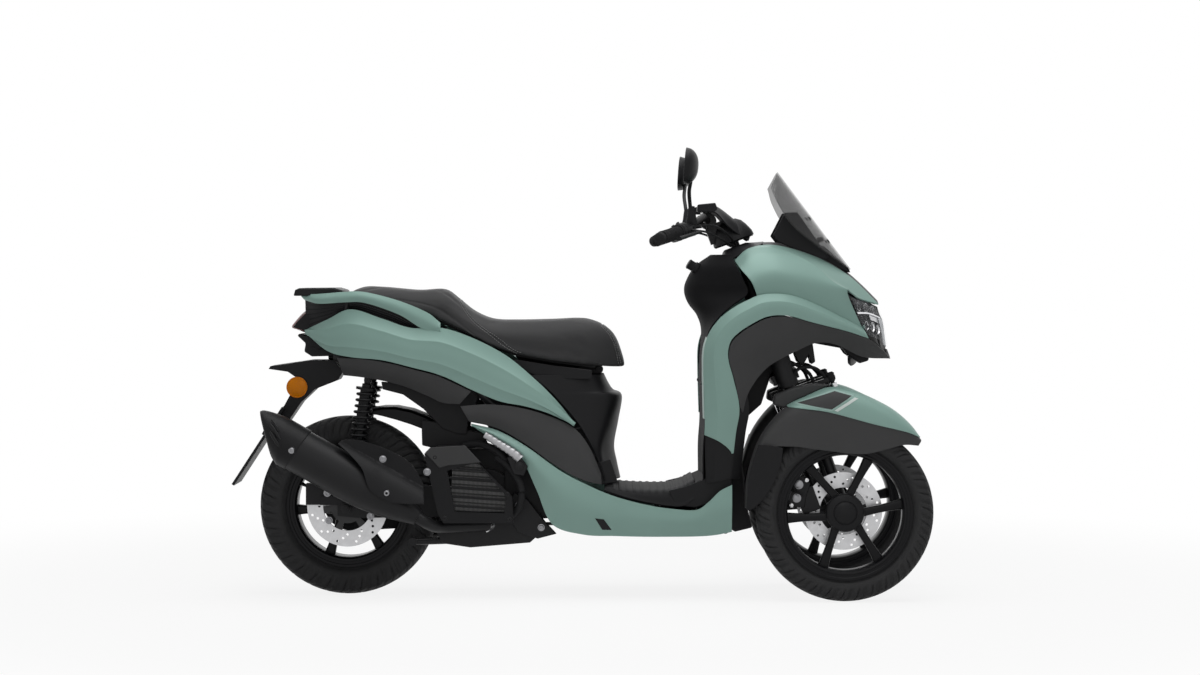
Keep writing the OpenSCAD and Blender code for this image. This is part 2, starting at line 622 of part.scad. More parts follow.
// Arm from a steering axis to the tie rod's pin
module steering_arm() {
  translate([0, -10, fork_top - arm_t]) cube([steer_arm, 20, arm_t]);
  translate([steer_arm, 0, fork_top - arm_t]) cylinder(h = arm_t, r = 12);
  translate([steer_arm, 0, tie_level - 22]) cylinder(h = fork_top - tie_level + 20, r = ball_r);
}

// Rod that links the steering shaft to both forks
module tie_rod() {
  low = tie_level - 18;
  color("silver") on_axis() difference() {
    union() {
      translate([steer_arm - 5, -kingpin_y, low]) cube([10, 2 * kingpin_y, rod_h]);
      for (y = [-1:1]) translate([steer_arm, y * kingpin_y, low]) cylinder(h = rod_h, r = 11);
    }
    for (y = [-1:1])
      translate([steer_arm, y * kingpin_y, low - 1]) cylinder(h = rod_h + 2, r = ball_r + run);
  }
}

// Middle of the bar, a grip's inner end and a grip's outer end
bar_mid = [368, 0, 1072];
bar_bend = [350, 112, 1080];
grip_in = [295, 226, 1043];
grip_out = [228, bar_half_w, 1021];

// Handlebar tube with its levers, its stem, the steering shaft and the shaft's arm
module handlebar() {
  d = unit(grip_out - grip_in);
  lever = [43, 6, -4];
  color("black") {
    on_axis() {
      translate([0, 0, fork_top - arm_t]) cylinder(h = 1120 - fork_top + arm_t, r = shaft_r);
      steering_arm();
      translate([0, 0, 1090]) cylinder(h = 30, r = 24);
      translate([-66, -20, 1092]) cube([66, 40, 56]);
    }
    bar([0, -27, 0] + bar_mid, [0, 27, 0] + bar_mid, 24);
    both_sides() {
      pipe([bar_mid, bar_bend, grip_in, grip_out], bar_r);
      bar(grip_in - 18 * d, grip_in - 4 * d, 17);
      pipe([grip_in - 11 * d, grip_in + lever, grip_in + lever + 125 * d], 5);
    }
    bar(bar_mid, seat_in(hood_rows, 2 / 8, 5 / 10, -panel_t), stay_r);
    translate(seat_in(hood_rows, 2 / 8, 5 / 10, -panel_t)) sphere(r = ball);
  }
}

// Rubber grips with a switch block at the inner end
module grips() {
  d = unit(grip_out - grip_in);
  color("dimgray") both_sides() difference() {
    union() {
      bar(grip_in + 36 * d, grip_out + 2 * d, 17);
      bar(grip_in + 6 * d, grip_in + 42 * d, 23);
    }
    bar(grip_in, grip_out + 40 * d, bar_r + touch / 2);
  }
}

hood_rows = [[[352, 82, 1098], [388, 84, 1096], [430, 70, 1052], [484, 44, 1016]],
             [[348, 44, 1110], [386, 46, 1114], [432, 40, 1080], [490, 26, 1030]],
             [[344, 0, 1114], [386, 0, 1118], [434, 0, 1086], [494, 0, 1034]],
             [[348, -44, 1110], [386, -46, 1114], [432, -40, 1080], [490, -26, 1030]],
             [[352, -82, 1098], [388, -84, 1096], [430, -70, 1052], [484, -44, 1016]]];

// Hood over the middle of the handlebar, with the meter
module bar_cover() {
  color("black") sheet(hood_rows, t = -panel_t, nu = 8, nv = 10);
}

mirror_mid = [306, 300, 1220];       // middle of a mirror head

// Mirrors on their stems
module mirrors() {
  color("black") both_sides() {
    foot = 0.64 * grip_in + 0.36 * bar_bend + [0, 0, 1.04 * (bar_r + touch + ball)];
    translate(foot) sphere(r = ball);
    bar(foot, mirror_mid + [0, -22, -30], 5.5);
    translate(mirror_mid) rotate([0, 12, 0]) scale([0.24, 1, 0.68]) sphere(r = 75);
  }
}

caliper_local = [-62, 322];        // middle of a front caliper in the steering frame

// Fork on the left, with its two tubes on the inner side of the wheel
module fork_left() {
  color("black") {
    on_axis(kingpin_y) {
      for (x = [-30, 30]) translate([x, 0, 236]) cylinder(h = fork_top - 236, r = fork_tube_r);
      translate([-48, -19, fork_top - 30]) cube([96, 38, 30]);
      translate([-48, -19, 224]) cube([96, 38, 66]);
      translate([0, 0, fork_top - 10]) cylinder(h = link_high - fork_top + 18, r = kingpin_r);
      translate([0, 0, link_high + 2]) cylinder(h = 6, r = 20);
      steering_arm();
      translate([axle_local_x, 0, axle_local_z]) rotate([-90, 0, 0])
        cylinder(h = wheel_y - kingpin_y + 30, r = axle_r);
      difference() {
        translate([caliper_local[0] - 26, 12, caliper_local[1] - 34]) cube([52, 40, 68]);
        translate([axle_local_x, disc_y - kingpin_y - 7, axle_local_z]) rotate([-90, 0, 0])
          cylinder(h = 14, r = front_disc_r + 6);
      }
      translate([-60, -10, caliper_local[1] - 12]) cube([36, 24, 24]);
    }
    for (u = [6 / 20, 8 / 20]) translate(seat_out(guard_rows, u, 1 / 8, 3)) sphere(r = ball);
  }
}

module fork_right() { mirror([0, 1, 0]) fork_left(); }

// [x and z of the ridge, half width, x and z of the lower edge] of a front mudguard
guard_levels = [[464, 264, 38, 474, 262], [470, 352, 42, 488, 348], [504, 456, 48, 528, 428],
                [566, 536, 53, 592, 438], [640, 576, 54, 660, 430], [704, 600, 54, 710, 424],
                [762, 592, 55, 758, 418], [810, 575, 55, 806, 418], [877, 540, 54, 858, 430],
                [926, 499, 48, 906, 442], [960, 455, 36, 950, 440]];
guard_rows = [for (q = [-1:0.5:1]) [for (l = guard_levels)
  let (k = abs(q) == 1 ? 1 : abs(q) == 0.5 ? 0.22 : 0)
  [l[0] + (l[3] - l[0]) * k, wheel_y + q * l[2] * (abs(q) == 0.5 ? 1.6 : 1), l[1] + (l[4] - l[1]) * k]]];

// Painted mudguard of a front wheel, on stays from its fork
module fender_left() {
  color("mediumaquamarine") sheet(guard_rows, t = 3, nu = 20, nv = 8);
}

module fender_right() { mirror([0, 1, 0]) fender_left(); }

// Ring of a wheel: radius of the bead seat and half width
module rim_ring(bead, half) {
  rotate_extrude($fn = 72)
    polygon([[bead - 16, -half + 10], [bead - 10, -half], [bead + 12, -half], [bead + 12, 4 - half],
             [bead, 6 - half], [bead, half - 6], [bead + 12, half - 4], [bead + 12, half],
             [bead - 10, half], [bead - 16, half - 10]]);
}

// Three V pairs of spokes, from the hub to the ring
module spokes(bead, hub, half) {
  reach = bead - 14;
  for (a = [263, 143, 23], s = [-1, 1]) linear_extrude(2 * half, center = true)
    polygon([[hub * 0.7 * cos(a + s * 4), hub * 0.7 * sin(a + s * 4)],
             [hub * 1.5 * cos(a - s * 9), hub * 1.5 * sin(a - s * 9)],
             [reach * cos(a + s * 26), reach * sin(a + s * 26)],
             [reach * cos(a + s * 37), reach * sin(a + s * 37)],
             [hub * 1.2 * cos(a + s * 30), hub * 1.2 * sin(a + s * 30)]]);
}

// Cast wheel about local Z, with hub ends at low and high
module wheel(bead, half, low, high, hub = 30, spoke = 12) {
  difference() {
    union() {
      rim_ring(bead, half);
      spokes(bead, hub, spoke);
      translate([0, 0, low]) cylinder(h = high - low, r = hub);
    }
    translate([0, 0, low - 1]) cylinder(h = high - low + 2, r = axle_r + run);
  }
}

// Tyre about local Z: outer radius, width, bead radius and half width of the rim
module tyre(r, w, bead, half) {
  b = bead + touch;
  h = w / 2;
  low = half - 6 - touch;
  rotate_extrude($fn = 72)
    polygon([[b, -low], [b + 14, -low - 1], [b + 26, 4 - h], [0.45 * b + 0.55 * r, -h], [r - 17, 3 - h],
             [r - 9, -0.8 * h], [r - 3, -0.5 * h], [r - 0.6, -0.22 * h], [r, 0], [r - 0.6, 0.22 * h],
             [r - 3, 0.5 * h], [r - 9, 0.8 * h], [r - 17, h - 3], [0.45 * b + 0.55 * r, h],
             [b + 26, h - 4], [b + 14, low + 1], [b, low]]);
}

// Brake disc about local Z, with windows between its arms and drilled holes
module disc(r, bore) {
  difference() {
    cylinder(h = disc_t, r = r, center = true, $fn = 72);
    cylinder(h = 2 * disc_t, r = bore, center = true);
    for (k = [0:5]) rotate(60 * k) translate([0, 0, -disc_t]) rotate_extrude(angle = 42)
      translate([0.42 * r, 0]) square([0.18 * r, 2 * disc_t]);
    for (k = [0:11], row = [0:2]) rotate(30 * k + 8 * row) translate([(0.7 + 0.1 * row) * r, 0, 0])
      cylinder(h = 2 * disc_t, r = 0.032 * r, center = true);
  }
}

// Local Z along the axle, pointing to the left
module on_front_axle(side) {
  translate([front_axle_x, side * wheel_y, front_tyre_r]) rotate([-90, 0, 0]) children();
}
module on_rear_axle() { translate([rear_axle_x, 0, rear_tyre_r]) rotate([-90, 0, 0]) children(); }

front_half = 35;                                           // half width of a front rim
hub_in = wheel_y - disc_y - disc_t / 2 - touch;            // hub's end at the disc
module front_rim(side) {
  on_front_axle(side) rotate([0, side > 0 ? 180 : 0, 0])
    wheel(front_bead_r, front_half, -26, hub_in);
}
module rim_front_right() { color("black") front_rim(-1); }
module rim_front_left() { color("black") front_rim(1); }
module tyre_front_right() {
  color("dimgray") on_front_axle(-1) tyre(front_tyre_r, front_tyre_w, front_bead_r, front_half);
}
module tyre_front_left() {
  color("dimgray") on_front_axle(1) tyre(front_tyre_r, front_tyre_w, front_bead_r, front_half);
}
module front_disc(side) {
  translate([front_axle_x, side * disc_y, front_tyre_r]) rotate([-90, 0, 0]) disc(front_disc_r, 16);
}
module disc_front_right() { color("silver") front_disc(-1); }
module disc_front_left() { color("silver") front_disc(1); }

rear_half = 50;           // half width of the rear rim
rear_disc_y = 70;         // distance of the rear disc from the middle plane
module rim_rear() {
  color("black") on_rear_axle()
    wheel(rear_bead_r, rear_half, touch + disc_t / 2 - rear_disc_y, 62, hub = 34, spoke = 14);
}
module tyre_rear() {
  color("dimgray") on_rear_axle() tyre(rear_tyre_r, rear_tyre_w, rear_bead_r, rear_half);
}
module disc_rear() {
  color("silver") translate([rear_axle_x, -rear_disc_y, rear_tyre_r]) rotate([-90, 0, 0]) disc(rear_disc_r, 16);
}

centre_pivot = [-290, 0, 164];      // centre stand's pivot
centre_pin_r = 9;

engine_rear = rear_axle_x + rear_tyre_r + 9;      // back of the engine, clear of the tyre
engine_front = -150;
engine_top = 340;

// Engine block with the lugs of the centre stand
module engine() {
  color("gray") {
    translate([engine_rear, -74, 190]) cube([engine_front - engine_rear, 150, engine_top - 190]);
    translate([-330, -60, 320]) cube([150, 120, 100]);
    translate([-270, -86, 280]) rotate([-90, 0, 0]) cylinder(h = 160, r = 84);
    difference() {
      for (y = [-1, 1]) translate([centre_pivot[0], y * 56, centre_pivot[2]]) {
        translate([0, -6, 0]) rotate([-90, 0, 0]) cylinder(h = 12, r = 18);
        translate([-18, -6, 0]) cube([36, 12, 40]);
      }
      translate(centre_pivot) rotate([90, 0, 0]) cylinder(h = 200, r = centre_pin_r + run, center = true);
    }
    for (y = [-1, 1]) bar([-200, y * 56, 350], [-90, y * 56, 300] - 12.3 * unit([110, 0, -50]), 9);
    for (y = [-1, 1]) bar([-240, y * 50, 400], [-240, y * 50, box_floor_z - touch], 9);
  }
}

// Case of the belt drive, on the left, back to the rear axle
module belt_case() {
  color("dimgray") translate([0, 76 + touch, 0]) rotate([90, 0, 180]) mirror([1, 0, 0])
    linear_extrude(66) union() {
      translate([-270, 285]) circle(r = 92);
      translate([rear_axle_x, rear_tyre_r]) circle(r = 84);
      polygon([[-270, 193], [-270, 377], [rear_axle_x, rear_tyre_r + 84], [rear_axle_x, rear_tyre_r - 84]]);
    }
  color("dimgray") for (c = [[-270, 285, 74], [rear_axle_x, rear_tyre_r, 62]])
    translate([c[0], 140 + touch, c[1]]) rotate([-90, 0, 0]) difference() {
      cylinder(h = 6, r = c[2]);
      translate([0, 0, 2 - touch]) cylinder(h = 6, r = c[2] - 10);
    }
}

// Right arm with the rear axle and the rear caliper
module swing_arm() {
  color("gray") {
    translate([0, -92, 0]) rotate([90, 0, 0]) linear_extrude(16)
      polygon([for (p = [[engine_rear + 60, -26], [engine_rear + 60, 44], [engine_rear - 20, 62], [rear_axle_x + 35, 44],
                         [rear_axle_x - 25, 26], [rear_axle_x - 25, -24], [rear_axle_x + 35, -30]])
        [p[0], rear_tyre_r + p[1]]]);
    translate([engine_rear, -92, rear_tyre_r - 16]) cube([44, 92 - 74 - touch, 50]);
    translate([rear_axle_x, -108, rear_tyre_r]) rotate([-90, 0, 0]) cylinder(h = 184, r = axle_r);
    difference() {
      translate([rear_axle_x - 117, -92, rear_tyre_r + 6]) cube([70, 40, 60]);
      translate([rear_axle_x, 7 - rear_disc_y, rear_tyre_r]) rotate([90, 0, 0])
        cylinder(h = 14, r = rear_disc_r + 6);
    }
    translate([rear_axle_x - 75, -100, rear_tyre_r + 6]) cube([60, 14, 24]);
    translate([rear_axle_x + 5, -108, rear_tyre_r + 14]) cube([28, 16, 71.9]);
  }
}

// Spring about local Z, its coils drawn as ridges
module spring(h, coils) {
  rotate_extrude() polygon(concat([[0, 0], [spring_r - 5, 0]],
    [for (k = [0:coils - 1], q = [0, 1]) [spring_r - 5 + 5 * q, (k + 0.25 + 0.5 * q) * h / coils]],
    [[spring_r - 5, h], [0, h]]));
}

// Rear dampers with their springs
module rear_dampers() {
  color("silver") both_sides() {
    d = unit(damper_low - damper_top);
    bar(damper_top, damper_low, 9);
    translate(damper_top) sphere(r = eye_r);
    translate(damper_low) sphere(r = eye_r);
    translate(damper_top + 30 * d) rotate([0, acos(d[2]), atan2(d[1], d[0])]) spring(160, spring_coils);
    bar(damper_top + 24 * d, damper_top + 32 * d, spring_r + 3);
    bar(damper_top + 188 * d, damper_top + 198 * d, spring_r + 3);
  }
}

// Mudguard close over the rear tyre, on two posts from the engine
module hugger() {
  color("black") {
    translate([0, 58, 0]) rotate([90, 0, 0]) linear_extrude(116)
      polygon([for (p = [[-604, 22], [-565, 28], [-528, 28], [-482, 19], [-438, 2], [-367, -38], [-367, -45],
               [-440, -6], [-484, 11], [-528, 20], [-565, 20], [-602, 14]]) [p[0], 2 * rear_tyre_r + p[1]]]);
    both_sides() bar([-374, 48, 2 * rear_tyre_r - 38], [-374, 48, engine_top + touch], 6);
  }
}

silencer_rear = [-882, -silencer_y, 476];
silencer_front = [-456, -silencer_y, 236];

// Silencer with its pipe from the engine
module exhaust() {
  d = silencer_front - silencer_rear;
  n = norm(d);
  color("dimgray") {
    translate(silencer_rear) rotate([0, acos(d[2] / n), atan2(d[1], d[0])]) rotate_extrude()
      polygon([[0, 0], [silencer_r - 8, 0], [silencer_r, 24], [silencer_r, 0.62 * n], [silencer_r - 14, 0.8 * n],
               [30, n - 10], [24, n], [0, n]]);
    pipe([silencer_front + touch * d / n, silencer_front + 22 * d / n, [-392, -142, 204],
          [-255, -118, 206], [-255, -86 - touch, 206]], 17);
  }
}

// Heat guard on the front of the silencer
module exhaust_guard() {
  d = silencer_front - silencer_rear;
  n = norm(d);
  r = silencer_r + touch;
  color("black") translate(silencer_rear) rotate([0, acos(d[2] / n), atan2(d[1], d[0])])
    rotate([0, 0, -150]) rotate_extrude(angle = 170)
      polygon([[r, 0.36 * n], [r + 5, 0.36 * n], [r + 5, 0.6 * n], [r, 0.6 * n]]);
}

// Radiator beside the engine, on two stays
module radiator() {
  color("gray") {
    translate([0, -142, 0]) rotate([90, 0, 0]) linear_extrude(30)
      polygon([[-366, 250], [-360, 372], [-292, 392], [-202, 296], [-204, 250]]);
    for (x = [-330, -240]) bar([x, -143, 300], [x, -86 - touch, 300], 8);
  }
}

// Grille frame over the radiator
module radiator_cover() {
  color("dimgray") translate([0, -172 - touch, 0]) rotate([90, 0, 0]) linear_extrude(14) difference() {
    polygon([[-438, 414], [-399, 436], [-334, 436], [-191, 293], [-186, 218], [-384, 218],
             [-400, 244]]);
    difference() {
      polygon([[-374, 366], [-289, 390], [-208, 296], [-212, 246], [-352, 250]]);
      for (k = [0:4]) polygon([for (q = [[-390, 268], [-190, 254], [-190, 258], [-390, 272]]) q + [0, 26 * k]]);
    }
    polygon([[-386, 429], [-364, 429], [-375, 412]]);
  }
}

// Passenger's footrests, folded against the floor's sides
module footrests() {
  color("silver") both_sides()
    sheet(floor_rows, t = -12, nu = 4, nv = 2, u0 = 0.08, u1 = 0.2, v0 = 0.3, v1 = 0.6, lift = -0.6);
}

// Stand in the middle, folded back under the engine
module centre_stand() {
  leg = [-186, 0, -6];
  color("black") {
    translate(centre_pivot) rotate([90, 0, 0]) cylinder(h = 210, r = centre_pin_r, center = true);
    both_sides() {
      pipe([centre_pivot + [0, 98, 0], centre_pivot + [0, 98, 0] + leg], 10);
      translate(centre_pivot + [0, 98, 0] + leg) rotate([90, 0, 0]) cylinder(h = 30, r = 12, center = true);
    }
    tie_x = rear_axle_x + rear_tyre_r + 4;
    bar([tie_x, -98, centre_pivot[2] - 4], [tie_x, 98, centre_pivot[2] - 4], 7);
  }
}

// Stand on the left, folded back along the floor
module side_stand() {
  color("black") {
    on_side_stand() difference() {
      union() {
        translate([0, 0, -8]) cylinder(h = 12, r = 14);
        bar([-9, 0, -2], [-190, 0, -2], 5);
        translate([-190, 0, -8]) cylinder(h = 16, r = 14);
      }
      translate([0, 0, -20]) cylinder(h = 40, r = stand_pin_r + run);
    }
  }
}

frame();
panel_stays();
front_cowl();
nose_trim();
leg_shield();
arch_panel();
inner_panel();
windscreen();
headlamps();
floor_panels();
footboard();
belly_pan();
centre_cover();
lower_covers();
side_covers();
tail_trims();
grab_rail();
rear_carrier();
storage_box();
tail_lamp();
rear_fender();
reflectors();
beak();
engine();
belt_case();
swing_arm();
rear_dampers();
hugger();
exhaust();
exhaust_guard();
radiator();
radiator_cover();
footrests();
lean_linkage();
handlebar();
bar_cover();
grips();
mirrors();
tie_rod();
fork_right();
fender_right();
rim_front_right();
tyre_front_right();
disc_front_right();
fork_left();
fender_left();
rim_front_left();
tyre_front_left();
disc_front_left();
rim_rear();
tyre_rear();
disc_rear();
seat();
seat_pan();
centre_stand();
side_stand();
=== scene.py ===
# %% [markdown]
# # Dressing a three-wheel motor scooter
# The CAD model gives every part its place, its size and its joints. This lesson puts the looks on top:
# smooth painted panels, a sewn seat, tyres with tread, lamps with depth and a finish for each part.
# Everything is in metres in the CAD model's own frame: +X forward, +Y to the rider's left, +Z up.
# Body lines are written in millimetres, as on a drawing, and are scaled when a mesh is made.

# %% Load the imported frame
import math

import bmesh
import bpy
import numpy as np
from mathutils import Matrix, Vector
from mathutils.bvhtree import BVHTree


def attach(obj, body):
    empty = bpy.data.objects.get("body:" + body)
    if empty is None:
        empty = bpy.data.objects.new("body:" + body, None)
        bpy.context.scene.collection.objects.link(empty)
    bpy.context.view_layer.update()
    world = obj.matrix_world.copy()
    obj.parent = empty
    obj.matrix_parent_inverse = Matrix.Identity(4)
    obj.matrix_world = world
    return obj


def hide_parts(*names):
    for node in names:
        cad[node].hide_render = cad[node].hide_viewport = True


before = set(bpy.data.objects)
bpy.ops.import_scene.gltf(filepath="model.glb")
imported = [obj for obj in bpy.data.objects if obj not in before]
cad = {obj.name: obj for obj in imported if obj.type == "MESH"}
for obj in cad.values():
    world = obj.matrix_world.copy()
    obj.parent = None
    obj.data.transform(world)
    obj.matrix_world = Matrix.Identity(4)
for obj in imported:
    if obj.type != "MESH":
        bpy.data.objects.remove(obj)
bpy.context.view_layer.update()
MM = 0.001

# %% [markdown]
# ## Camera
# A product photograph of a vehicle is taken from far away with a long lens, so that its lines stay
# straight. The focal length is known in pixels of the picture and is turned into Blender's millimetres. The
# camera stays level and its sensor is shifted instead, because a tilted camera would make upright lines
# lean.

# %% Camera
FOCAL_PX, FRAME_W, FRAME_H, HORIZON_ROW = 2703.0, 1200.0, 675.0, 272.0
SENSOR = 36.0
camera_data = bpy.data.cameras.new("side_camera")
camera_data.lens = FOCAL_PX / FRAME_W * SENSOR
camera_data.sensor_width = SENSOR
camera_data.shift_y = (HORIZON_ROW - FRAME_H / 2) / FRAME_W
camera = bpy.data.objects.new("side_camera", camera_data)
camera.location = (0.057, -7.8, 0.926)
camera.rotation_euler = (math.pi / 2, 0.0, 0.0)
bpy.context.collection.objects.link(camera)
bpy.context.scene.camera = camera
bpy.context.scene.view_settings.view_transform = "Standard"
print("lens", round(camera_data.lens, 2), "shift", round(camera_data.shift_y, 4))


# %% [markdown]
# ## Shader sums
# A shader tree is easier to read as arithmetic. `Value` wraps one output socket and turns Python's
# operators into Math nodes; `Finish` holds one material and makes every other node with one method. The
# nodes are the same as those linked by hand in the editor, only shorter to write.

# %% Socket arithmetic
def plug(tree, item, socket):
    """Link a Value to a socket, or set a plain number or colour on it."""
    if isinstance(item, Value):
        tree.links.new(item.socket, socket)
    else:
        socket.default_value = item


class Value:
    """One number of a shader tree; + - * / ** < > between values add Math nodes."""

    def __init__(self, tree, socket):
        self.tree, self.socket = tree, socket

    def math(self, operation, other=0.0, swap=False):
        node = self.tree.nodes.new("ShaderNodeMath")
        node.operation = operation
        for item, socket in zip((other, self) if swap else (self, other), node.inputs):
            plug(self.tree, item, socket)
        return Value(self.tree, node.outputs[0])

    def __add__(self, other): return self.math("ADD", other)
    def __radd__(self, other): return self.math("ADD", other)
    def __sub__(self, other): return self.math("SUBTRACT", other)
    def __rsub__(self, other): return self.math("SUBTRACT", other, swap=True)
    def __mul__(self, other): return self.math("MULTIPLY", other)
    def __rmul__(self, other): return self.math("MULTIPLY", other)
    def __truediv__(self, other): return self.math("DIVIDE", other)
    def __pow__(self, other): return self.math("POWER", other)
    def __gt__(self, other): return self.math("GREATER_THAN", other)
    def __lt__(self, other): return self.math("LESS_THAN", other)


class Finish:
    """One material: a Principled shader with constants on its sockets and nodes for what varies.

    Its slot, the kind of surface that it is, is kept with it: its own name, unless another is given.
    """

    def __init__(self, name, constants, slot=None):
        self.slot = slot or name
        self.material = bpy.data.materials.new(name)
        self.material.use_nodes = True
        self.tree = self.material.node_tree
        self.shader = self.tree.nodes["Principled BSDF"]
        for socket, value in constants.items():
            self.shader.inputs[socket].default_value = value

    def node(self, kind, settings, inputs, out=0):
        """Any node: its settings first, then the values or links of its sockets."""
        node = self.tree.nodes.new("ShaderNode" + kind)
        for key, value in settings.items():
            setattr(node, key, value)
        for key, value in inputs.items():
            plug(self.tree, value, node.inputs[key])
        return Value(self.tree, node.outputs[out])

    def place(self):
        """Object coordinates, which are the CAD frame's metres."""
        return self.node("TexCoord", {}, {}, "Object")

    def axes(self):
        """x, y and z of the place, as three Values."""
        split = self.node("SeparateXYZ", {}, {0: self.place()})
        return [Value(self.tree, split.socket.node.outputs[k]) for k in range(3)]

    def noise(self, scale, detail=3.0, stretch=None):
        """Cloudy value from 0 to 1, finer with scale; stretch scales the three axes apart."""
        place = self.place()
        if stretch:
            place = self.node("Mapping", {}, {"Vector": place, "Scale": stretch})
        return self.node("TexNoise", {}, {"Vector": place, "Scale": scale, "Detail": detail})

    def cells(self, scale, feature="F1"):
        """Distance to the nearest of scattered points, for grain."""
        return self.node("TexVoronoi", {"feature": feature}, {"Vector": self.place(), "Scale": scale})

    def blend(self, share, first, second):
        """Colour between two colours by a share from 0 to 1."""
        return self.node("Mix", {"data_type": "RGBA"}, {0: share, 6: first, 7: second}, 2)

    def step(self, value, low, high):
        """Smooth step of a value from 0 at low to 1 at high."""
        return self.node("MapRange", {"interpolation_type": "SMOOTHSTEP"},
                         {"Value": value, "From Min": low, "From Max": high})

    def feed(self, links):
        """Send what varies to the shader's sockets."""
        for socket, value in links.items():
            plug(self.tree, value, self.shader.inputs[socket])
        return self

    def bump(self, height, strength=0.2, distance=0.001):
        """Relief from a height value."""
        return self.feed({"Normal": self.node("Bump", {}, {"Strength": strength, "Distance": distance,
                                                           "Height": height})})


def grained(name, dark, light, rough, grain, strength, extra=None, slot=None):
    """Moulded or painted surface: colour drifts between two tones, roughness drifts, grain gives relief."""
    finish = Finish(name, {"Specular IOR Level": 0.2, **(extra or {})}, slot)
    cloud = finish.noise(9.0, 4.0)
    fine = finish.noise(grain, 2.0)
    finish.feed({"Base Color": finish.blend(cloud, (*dark, 1), (*light, 1)),
                 "Roughness": rough - 0.06 + 0.12 * fine})
    return finish.bump(fine, strength, 0.0006)


print("shader tools ready")


# %% [markdown]
# ## Finishes
# The paint is a satin mint with a trace of metal in it, so flanks turn grey-green and tops stay light.
# Plastics carry a fine moulded grain, castings a coarser one, and ground steel shows fine rings. Tone and
# roughness drift a little everywhere, because one flat value looks like a computer's plastic. Only grain
# that is too fine to model is bump.

# %% Paint and plastics
mint_paint = grained("mint_paint", (0.255, 0.402, 0.356), (0.275, 0.428, 0.38), 0.42, 900.0, 0.03,
                     {"Metallic": 0.1, "Coat Weight": 0.1, "Coat Roughness": 0.3})
grey_plastic = grained("grey_plastic", (0.048, 0.048, 0.049), (0.060, 0.060, 0.061), 0.55, 1500.0, 0.16)
black_plastic = grained("black_plastic", (0.009, 0.009, 0.010), (0.014, 0.014, 0.015), 0.44, 1300.0, 0.18,
                        {"Specular IOR Level": 0.14})
matt_plastic = grained("matt_plastic", (0.013, 0.013, 0.014), (0.019, 0.019, 0.020), 0.6, 1300.0, 0.18,
                       {"Specular IOR Level": 0.02}, "black_plastic")
black_steel = grained("black_steel", (0.006, 0.006, 0.007), (0.010, 0.010, 0.011), 0.36, 700.0, 0.06)
black_alloy = grained("black_alloy", (0.004, 0.004, 0.005), (0.007, 0.007, 0.008), 0.30, 500.0, 0.05,
                      {"Coat Weight": 0.04, "Coat Roughness": 0.2, "Specular IOR Level": 0.12})
rubber = grained("rubber", (0.010, 0.010, 0.011), (0.017, 0.017, 0.018), 0.72, 900.0, 0.25, slot="black_rubber")
cast_black = grained("cast_black", (0.008, 0.008, 0.009), (0.016, 0.016, 0.017), 0.48, 420.0, 0.3,
                     slot="black_steel")
cast_alloy = grained("cast_alloy", (0.30, 0.30, 0.31), (0.40, 0.40, 0.41), 0.42, 380.0, 0.3, {"Metallic": 0.9})
bright_steel = grained("bright_steel", (0.52, 0.52, 0.53), (0.64, 0.64, 0.65), 0.24, 260.0, 0.05,
                       {"Metallic": 1.0})
bolt_steel = grained("bolt_steel", (0.20, 0.20, 0.21), (0.28, 0.28, 0.29), 0.32, 260.0, 0.05, {"Metallic": 1.0},
                     "bright_steel")
exhaust_black = grained("exhaust_black", (0.009, 0.009, 0.010), (0.016, 0.016, 0.017), 0.45, 800.0, 0.12,
                        slot="exhaust_steel")
chrome = grained("chrome", (0.78, 0.78, 0.80), (0.84, 0.84, 0.86), 0.1, 120.0, 0.01, {"Metallic": 1.0},
                 "bright_steel")
print(len(bpy.data.materials), "materials so far")

# %% Glass and lenses
smoked = grained("smoked_screen", (0.012, 0.012, 0.013), (0.018, 0.018, 0.019), 0.1, 60.0, 0.01,
                 {"Alpha": 0.42, "Specular IOR Level": 0.3})
clear_lens = grained("clear_lens", (0.75, 0.80, 0.84), (0.80, 0.84, 0.88), 0.08, 60.0, 0.01,
                     {"Alpha": 0.04, "Specular IOR Level": 0.4})
red_lens = grained("red_lens", (0.20, 0.008, 0.008), (0.28, 0.012, 0.010), 0.14, 300.0, 0.2,
                   {"Alpha": 0.86, "Coat Weight": 0.5})
mirror_glass = grained("mirror_glass", (0.26, 0.27, 0.29), (0.32, 0.33, 0.35), 0.07, 40.0, 0.01, {"Metallic": 1.0},
                       "bright_steel")
amber_lens = Finish("amber_lens", {"Coat Weight": 0.05, "Coat Roughness": 0.1, "Specular IOR Level": 0.15})
prisms = amber_lens.cells(420.0)
amber_lens.feed({"Base Color": amber_lens.blend(prisms, (0.80, 0.25, 0.0, 1), (0.66, 0.19, 0.0, 1)),
                 "Roughness": 0.2 + 0.15 * prisms}).bump(prisms, 0.35, 0.0008)
glow = grained("lamp_white", (0.80, 0.82, 0.84), (0.88, 0.90, 0.92), 0.3, 200.0, 0.05, slot="clear_lens")
lamp_black = grained("lamp_black", (0.004, 0.004, 0.005), (0.008, 0.008, 0.009), 0.12, 50.0, 0.01,
                     slot="black_plastic")
thread = grained("thread", (0.22, 0.22, 0.22), (0.30, 0.30, 0.30), 0.7, 1500.0, 0.3, slot="seat_vinyl")
pale_trim = grained("pale_trim", (0.72, 0.78, 0.75), (0.78, 0.84, 0.81), 0.4, 700.0, 0.03, slot="mint_paint")
pale_mint = grained("pale_mint", (0.36, 0.52, 0.47), (0.40, 0.56, 0.51), 0.4, 700.0, 0.03, slot="mint_paint")
print("lenses", smoked.material.name, amber_lens.material.name)


# %% [markdown]
# ## Curves and surfaces
# The CAD source draws its panels as smooth surfaces through rows of control points. The same rows are used
# here with a much finer grid, so the dressed panel lies on the CAD one and only gets smoother. Blender's
# own curve surfaces could do this too, but plain arrays of points are easily cut, lifted and mirrored
# before they become a mesh.

